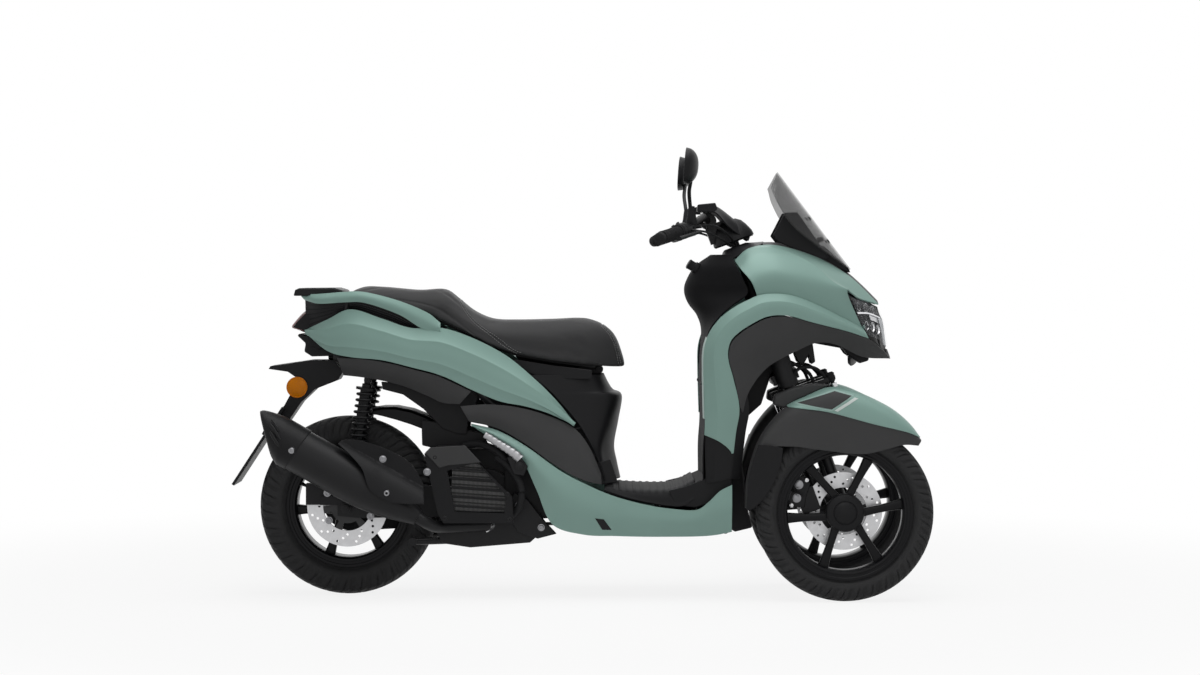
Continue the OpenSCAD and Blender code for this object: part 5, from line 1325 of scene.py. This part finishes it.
# %% Meter and cables
u, v = spread(24, 40)
face_low = np.stack([362 + 4 * np.cos(np.pi * (v - 0.5)), 62 - 124 * v, 1052 - 4 * np.sin(np.pi * v)], -1)
face_top = np.stack([350 - 4 * np.sin(np.pi * v), 78 - 156 * v, 1092 + 14 * np.sin(np.pi * v)], -1)
meter = face_low * (1 - u[..., None]) + face_top * u[..., None]
sheet("meter_face", [meter[:, ::-1]], lamp_black, 4.0, 1.0, body="steering", slot="clear_lens")
cables = [smooth([grip_in + [6, 20, -4], (352, -176, 1040), (400, -120, 1020), (438, -50, 1000)], 30),
          smooth([grip_in + [14, 24, 8], (372, -168, 1058), (418, -104, 1036), (446, -36, 1004)], 30)]
tubes("bar_cables", [c * m for c in cables for m in EACH_SIDE], 3.2, rubber, 10, body="steering")
print("handlebar done")

# %% [markdown]
# ## Small parts
# What is left are the small parts that make a vehicle read as real: covers over openings, brackets, hoses,
# footrests, hinges and bolt heads. Dark liners behind the front wheels and shrouds beside the engine close
# gaps through which the white studio would shine. Most are plates: an outline in the side view, drawn out
# sideways and rounded.

# %% Dash cover and steering shroud
edge_pts = np.array([(404, 0, 958), (410, -70, 960), (428, -118, 960), (468, -124, 986), (508, -104, 1000),
                     (524, -50, 1010), (528, 0, 1014), (524, 50, 1010), (508, 104, 1000), (468, 124, 986),
                     (428, 118, 960), (410, 70, 960)], float)
theta = np.linspace(-np.pi, np.pi, 96, endpoint=False)
bearing = np.arctan2(edge_pts[:, 1], edge_pts[:, 0] - 456)
order = np.argsort(bearing)
rim_line = np.stack([np.interp(theta, bearing[order], edge_pts[order, k], period=2 * np.pi) for k in range(3)], -1)
collar = np.stack([447 + 30 * np.cos(theta), 30 * np.sin(theta), 1000 + 10.9 * np.cos(theta)], -1)
rho = np.linspace(0, 1, 24)[None, :, None]
dash = collar[:, None] * (1 - rho) + rim_line[:, None] * rho
dash[..., 2] = collar[:, None, 2] + (rim_line[:, None, 2] - collar[:, None, 2]) * rho[..., 0] ** 1.8
sheet("dash_cover", [facing(dash, (0, 0, 1))], black_plastic, 3, wrap_u=True)
shroud = [[0, 0], [57, 0], [61, 5], [59, 18], [50, 38], [40, 54], [26, 64], [0, 67]]
lathe("steering_shroud", [(shroud, on_axis(0, 0, 1077), axis_up)], black_plastic, 64, body="steering")
print("dash done")

# %% Screen bracket, knob, horn and liners
plate("screen_bracket", [(586, 1096), (622, 1097), (712, 968), (690, 958), (566, 1012), (552, 1030)],
      both_sides(60, 66), black_plastic, 2)
tubes("screen_bridge", [np.linspace((604, -62, 1090), (604, 62, 1090), 12),
                        np.linspace((690, -62, 975), (690, 62, 975), 12)], 5.0, black_steel)
screw_uv = [(0.6, 0.72), (0.4, 0.72), (0.6, 0.28), (0.4, 0.28)]
screw_at = np.array([patch(screen_rows, a, b) for a, b in screw_uv])
bolts("screen_screws", screw_at + [0.6, 0, 0.4], (0.8, 0, 0.6), 6, 3.5, black_steel)
knob = [[0, -6], [17, -6], [17, 4], [14, 6], [14, 18], [15, 22], [12, 25], [0, 26]]
lathe("lock_knob", [(knob, (330, -62, 938), (-0.86, -0.1, 0.5))], black_plastic, 40)
lathe("horn", [([[0, -14], [20, -14], [34, -6], [36, 0], [33, 3], [12, 6], [10, 10], [0, 11]], (790, -30, 690),
                (0.8, -0.4, -0.3))], black_steel, 40)
tubes("horn_bracket", [smooth([(790, -30, 694), (782, -20, 716), (770, -10, 740)], 10)], 6.0, black_steel, flat=0.4)
plate("nose_ducts", [(746, 716), (784, 712), (828, 690), (826, 672), (800, 664), (764, 690)], both_sides(44, 62),
      black_plastic, 4)
plate("screen_base", [(660, 1010), (700, 1000), (770, 940), (776, 924), (700, 948), (640, 980)], [(-40, 40)],
      black_plastic, 3)
plate("front_liner", [(430, 640), (558, 662), (540, 606), (520, 546), (466, 498), (440, 520)], [(-40, 40)],
      black_plastic, 4)
plate("lower_liner", [(392, 206), (392, 430), (424, 434), (430, 300), (428, 192), (410, 182)], [(-150, 150)],
      black_plastic, 6)
plate("keel", [(424, 430), (460, 424), (472, 330), (476, 270), (496, 190), (446, 178), (424, 190)], [(-20, 20)],
      black_plastic, 5)
plate("lock_bracket", [(604, 716), (668, 722), (676, 668), (664, 660), (656, 686), (640, 656), (624, 668),
                       (616, 690)], both_sides(22, 34), black_steel, 3)
print("front small parts done")

# %% Footrests, painted shade of the floor recess, and hugger skirts
floor_rows = bulged(floor_top, floor_low, 12)
rest_x, rest_z = np.linspace(-268, -176, 40), np.linspace(468, 378, 40)
rest_u, rest_v = locate(floor_rows, rest_x, rest_z, (0.0, 0.4), (0.0, 1.0))
rest = patch(floor_rows, rest_u, rest_v)
rest[:, 1] = 190 + 3 * np.linspace(0, 1, 40)
swell = 9.0 + 4.0 * np.linspace(0, 1, 40) + 0.7 * np.clip(3 * np.sin(np.arange(40) * 1.3), -1, 1)
tubes("footrest_pegs", [rest * FLIP, rest], swell, cast_alloy, 18, ref=(0, 1, 0), flat=0.75,
      replaces=("footrests",))
hinge = [[0, -9], [12, -9], [12, 9], [9, 11], [0, 11]]
lathe("footrest_hinges", [(hinge, (-170, y, 380), (0, np.sign(y), 0)) for y in (-192, 192)], black_steel, 28)
plate("footrest_brackets", [(-206, 404), (-172, 414), (-146, 378), (-158, 352), (-186, 356)], both_sides(178, 188),
      black_steel, 3)
toe_line = smooth([(296, 0, 322), (334, 0, 336), (356, 0, 350), (357, 0, 395), (366, 0, 462)], 50)
u, v = spread(50, 24)
toe = toe_line[:, None] + np.stack([0 * v, 178 - 356 * v, 0 * v], -1)
sheet("toe_board", [facing(toe, (-1, 0, 0.5))], matt_plastic, 4)
plate("toe_sides", [(250, 310), (300, 322), (358, 346), (355, 393), (365, 461), (425, 388), (428, 322), (392, 300),
                    (362, 274), (328, 262), (270, 268)], both_sides(178, 184), black_plastic, 2)
# No hollow is cut into the floor panel here: a thin near-black sheet lies on it instead, painted shade of the recess.
recess_shade_mark = decal(floor_rows, [(43, 233), (68, 230), (90, 199), (63, 200)], 0.5, (0.2, 0.8), (0.0, 1.0))
sheet("floor_recess_shade", [recess_shade_mark, mirrored(recess_shade_mark)], lamp_black, 0.6, 0.1)
plate("hugger_skirts", [(-604, 533), (-565, 539), (-528, 539), (-482, 530), (-438, 513), (-368, 473), (-368, 450),
                        (-440, 472), (-484, 489), (-528, 503), (-565, 513), (-602, 521)], both_sides(55, 58),
      black_plastic, 1)
plate("inner_fender", [(-566, 614), (-504, 609), (-416, 584), (-345, 606), (-280, 588), (-318, 501), (-322, 464),
                       (-348, 464), (-392, 480), (-446, 536), (-504, 577), (-562, 592)], both_sides(97, 104),
      black_plastic, 2)
plate("seat_skirt", [(-192, 680), (-80, 662), (0, 652), (34, 648), (34, 622), (0, 622), (-100, 624), (-162, 644)],
      both_sides(130, 136), black_plastic, 2)
print("side small parts done")

# %% Fork tops: hoses and bright tubes
for side, tag in SIDES:
    body, y = "fork_" + tag, side * 132.0
    tubes("fork_rod_" + tag, [np.linspace((577, y, 680), (603, y, 616), 8)], 7.5, chrome, 20, body=body)
    hose_a = smooth([(600, y, 622), (622, y, 652), (664, y - side * 6, 654), (694, y - side * 12, 630),
                     (704, y - side * 12, 598)], 30)
    hose_b = smooth([(566, y, 600), (574, y - side * 4, 640), (606, y - side * 14, 664), (650, y - side * 24, 640),
                     (668, y - side * 26, 604)], 30)
    tubes("brake_hoses_" + tag, [hose_a, hose_b], 5.0, rubber, 16, body=body)
print("fork tops done")

# %% Engine side: hoses, bracket and pipe clamp
hoses = [smooth([(-236, -150, 402), (-196, -166, 372), (-166, -172, 322), (-170, -168, 268), (-196, -150, 232)], 40),
         smooth([(-330, -120, 432), (-280, -140, 438), (-226, -152, 412), (-186, -160, 356), (-160, -158, 300)], 40)]
tubes("coolant_hoses", hoses, 10.0, rubber, 20)
plate("engine_bracket", [(-212, 246), (-186, 300), (-150, 282), (-96, 214), (-66, 182), (-120, 168), (-176, 186)],
      [(-120, -108)], cast_black, 3)
plate("engine_guard", [(-396, 236), (-186, 214), (-120, 176), (-142, 156), (-312, 142), (-392, 154), (-412, 190)],
      [(-112, -98)], cast_black, 4)
plate("radiator_cap", [(-436, 417), (-421, 432), (-323, 438), (-278, 390), (-372, 381), (-396, 374)], [(-190, -186)],
      grey_plastic, 2)
lathe("pipe_clamp", [([[17.2, -9], [20.5, -9], [20.5, 9], [17.2, 9], [17.2, -9]], (-262, -104, 206),
                      (-0.6, -0.7, 0))], bright_steel, 40)
bolts("engine_bolts", [(-150, -112, 218), (-110, -122, 200), (-176, -122, 262)], (0, -1, 0), 8, 7, bolt_steel)
bolts("radiator_bolts", [(-408, -186.5, 404), (-204, -186.5, 300), (-380, -186.5, 232), (-198, -186.5, 228)],
      (0, -1, 0), 6, 4, black_steel)
case_bolts = [(x + r * math.cos(a), 142.3, z + r * math.sin(a))
              for x, z, r, ring in ((-270, 285, 84, (60, 120, 240, 300)), (-665, 256, 74, (100, 160, 200, 260)))
              for a in np.radians(ring)]
bolts("case_bolts", case_bolts, (0, 1, 0), 6, 5, bright_steel)
plate("engine_shroud", [(-215, 440), (-150, 425), (-110, 370), (-84, 300), (-62, 226), (-120, 222), (-215, 230)],
      both_sides(90, 96), black_plastic, 2)
plate("air_box", [(-452, 505), (-400, 498), (-330, 478), (-280, 470), (-262, 440), (-300, 425), (-400, 420),
                  (-450, 432)], both_sides(92, 100), black_plastic, 3)
plate("cover_foot", [(44, 384), (86, 396), (108, 330), (60, 324)], both_sides(138, 144), black_plastic, 2)
print("engine side done")

# %% [markdown]
# ## Finishes for the CAD parts that stay
# Tubes, castings and brackets already have the right shape, so they only get a finish. The radiator's fins
# and tubes are two sine waves in the material, because hundreds of fins behind a cover are not worth their
# triangles.

# %% Radiator core
fins = Finish("radiator_fins", {"Metallic": 0.4})
rx, _, rz = fins.axes()
comb = fins.step((rx * (2 * math.pi / 0.0036)).math("SINE"), -0.2, 0.4)
rows = fins.step(((rz + 0.07 * rx) * (2 * math.pi / 0.0125)).math("SINE"), 0.5, 0.8)
# The colour is light only on the fins. Between them it drops to near black, which is painted shade of the deep gaps
# in the core, and the tube rows are dark as well.
fins.feed({"Base Color": fins.blend(comb * (1.0 - rows), (0.006, 0.006, 0.006, 1), (0.12, 0.12, 0.12, 1)),
           "Roughness": 0.5 - 0.15 * comb}).bump(comb + rows, 0.5, 0.001)
print("fins", len(fins.tree.nodes), "nodes")

# %% Finishes on CAD nodes
stays = {black_steel: ["frame", "panel_stays", "fork_right", "fork_left", "handlebar", "centre_stand", "side_stand"],
         black_plastic: ["rear_carrier", "storage_box", "rear_fender", "hugger", "seat_pan", "radiator_cover"],
         disc_front: ["disc_front_right", "disc_front_left"], disc_rear: ["disc_rear"],
         bright_steel: ["tie_rod"],
         cast_black: ["engine", "belt_case", "swing_arm", "lean_linkage"], fins: ["radiator"]}
for finish, names in stays.items():
    for name in names:
        cad[name].data.materials.clear()
        cad[name].data.materials.append(finish.material)
print("finishes on", sum(map(len, stays.values())), "CAD nodes")

# %% [markdown]
# ## Floor, backdrop and light
# For rays that look, the floor is mostly plain white near the vehicle, and the rest of it is lit, which
# leaves a pale contact shadow. Further off it turns all white and meets the white world without a line.
# Rays that carry light see a weaker world, so that the big softbox overhead and the two smaller ones shape
# the panels.

# %% Floor
WHITE_NEAR = 0.86


def looking(tree):
    """1 for the rays that look (camera, glossy and transmitted ones), 0 for those that carry light."""
    path = tree.nodes.new("ShaderNodeLightPath")
    rays = [Value(tree, path.outputs[kind]) for kind in ("Is Camera Ray", "Is Glossy Ray", "Is Transmission Ray")]
    return rays[0].math("MAXIMUM", rays[1]).math("MAXIMUM", rays[2])


floor_mesh = bpy.data.meshes.new("studio_floor")
floor_mesh.from_pydata([(-40, -40, 0), (40, -40, 0), (40, 40, 0), (-40, 40, 0)], [], [(0, 1, 2, 3)])
floor = bpy.data.objects.new("studio_floor", floor_mesh)
bpy.context.collection.objects.link(floor)
ground = Finish("studio_floor", {"Roughness": 0.9, "Specular IOR Level": 0.0, "Base Color": (0.9, 0.9, 0.9, 1)})
floor_mesh.materials.append(ground.material)
fx, fy, _ = ground.axes()
far = ground.step((fx * fx + fy * fy) ** 0.5, 1.2, 3.2)
white = ground.node("Emission", {}, {"Color": (1, 1, 1, 1), "Strength": 1.0})
lit = Value(ground.tree, ground.shader.outputs[0])
mix = ground.node("MixShader", {}, {0: looking(ground.tree) * (WHITE_NEAR + (1 - WHITE_NEAR) * far), 1: lit,
                                     2: white})
ground.tree.links.new(mix.socket, ground.tree.nodes["Material Output"].inputs["Surface"])

print("floor ready")

# %% World and lights
SKY_LIGHT = 0.17
world = bpy.data.worlds.new("studio_world")
bpy.context.scene.world = world
world.use_nodes = True
sky = world.node_tree
choose = sky.nodes.new("ShaderNodeMixShader")
plug(sky, looking(sky), choose.inputs[0])
for k, node, strength in ((1, sky.nodes["Background"], SKY_LIGHT), (2, sky.nodes.new("ShaderNodeBackground"), 1.0)):
    node.inputs["Color"].default_value, node.inputs["Strength"].default_value = (1, 1, 1, 1), strength
    sky.links.new(node.outputs[0], choose.inputs[k])
sky.links.new(choose.outputs[0], sky.nodes["World Output"].inputs["Surface"])


def softbox(name, place, aim, size, power):
    """A square area light at place that faces aim."""
    data = bpy.data.lights.new(name, "AREA")
    data.size, data.energy = size, power
    lamp = bpy.data.objects.new(name, data)
    lamp.location = place
    turn = np.array(aim, float) - np.array(place, float)
    lamp.rotation_euler = Vector(turn).to_track_quat("-Z", "Y").to_euler()
    bpy.context.collection.objects.link(lamp)
    return lamp


for name, place, aim, size, power in (("top_softbox", (0.2, -0.6, 4.2), (0, 0, 0.4), 4.0, 124),
                                      ("front_softbox", (0.5, -5.5, 2.2), (0, 0, 0.6), 3.0, 15),
                                      ("rear_softbox", (-0.5, 4.5, 2.6), (0, 0, 0.6), 3.0, 15)):
    softbox(name, place, aim, size, power)
print("studio ready")
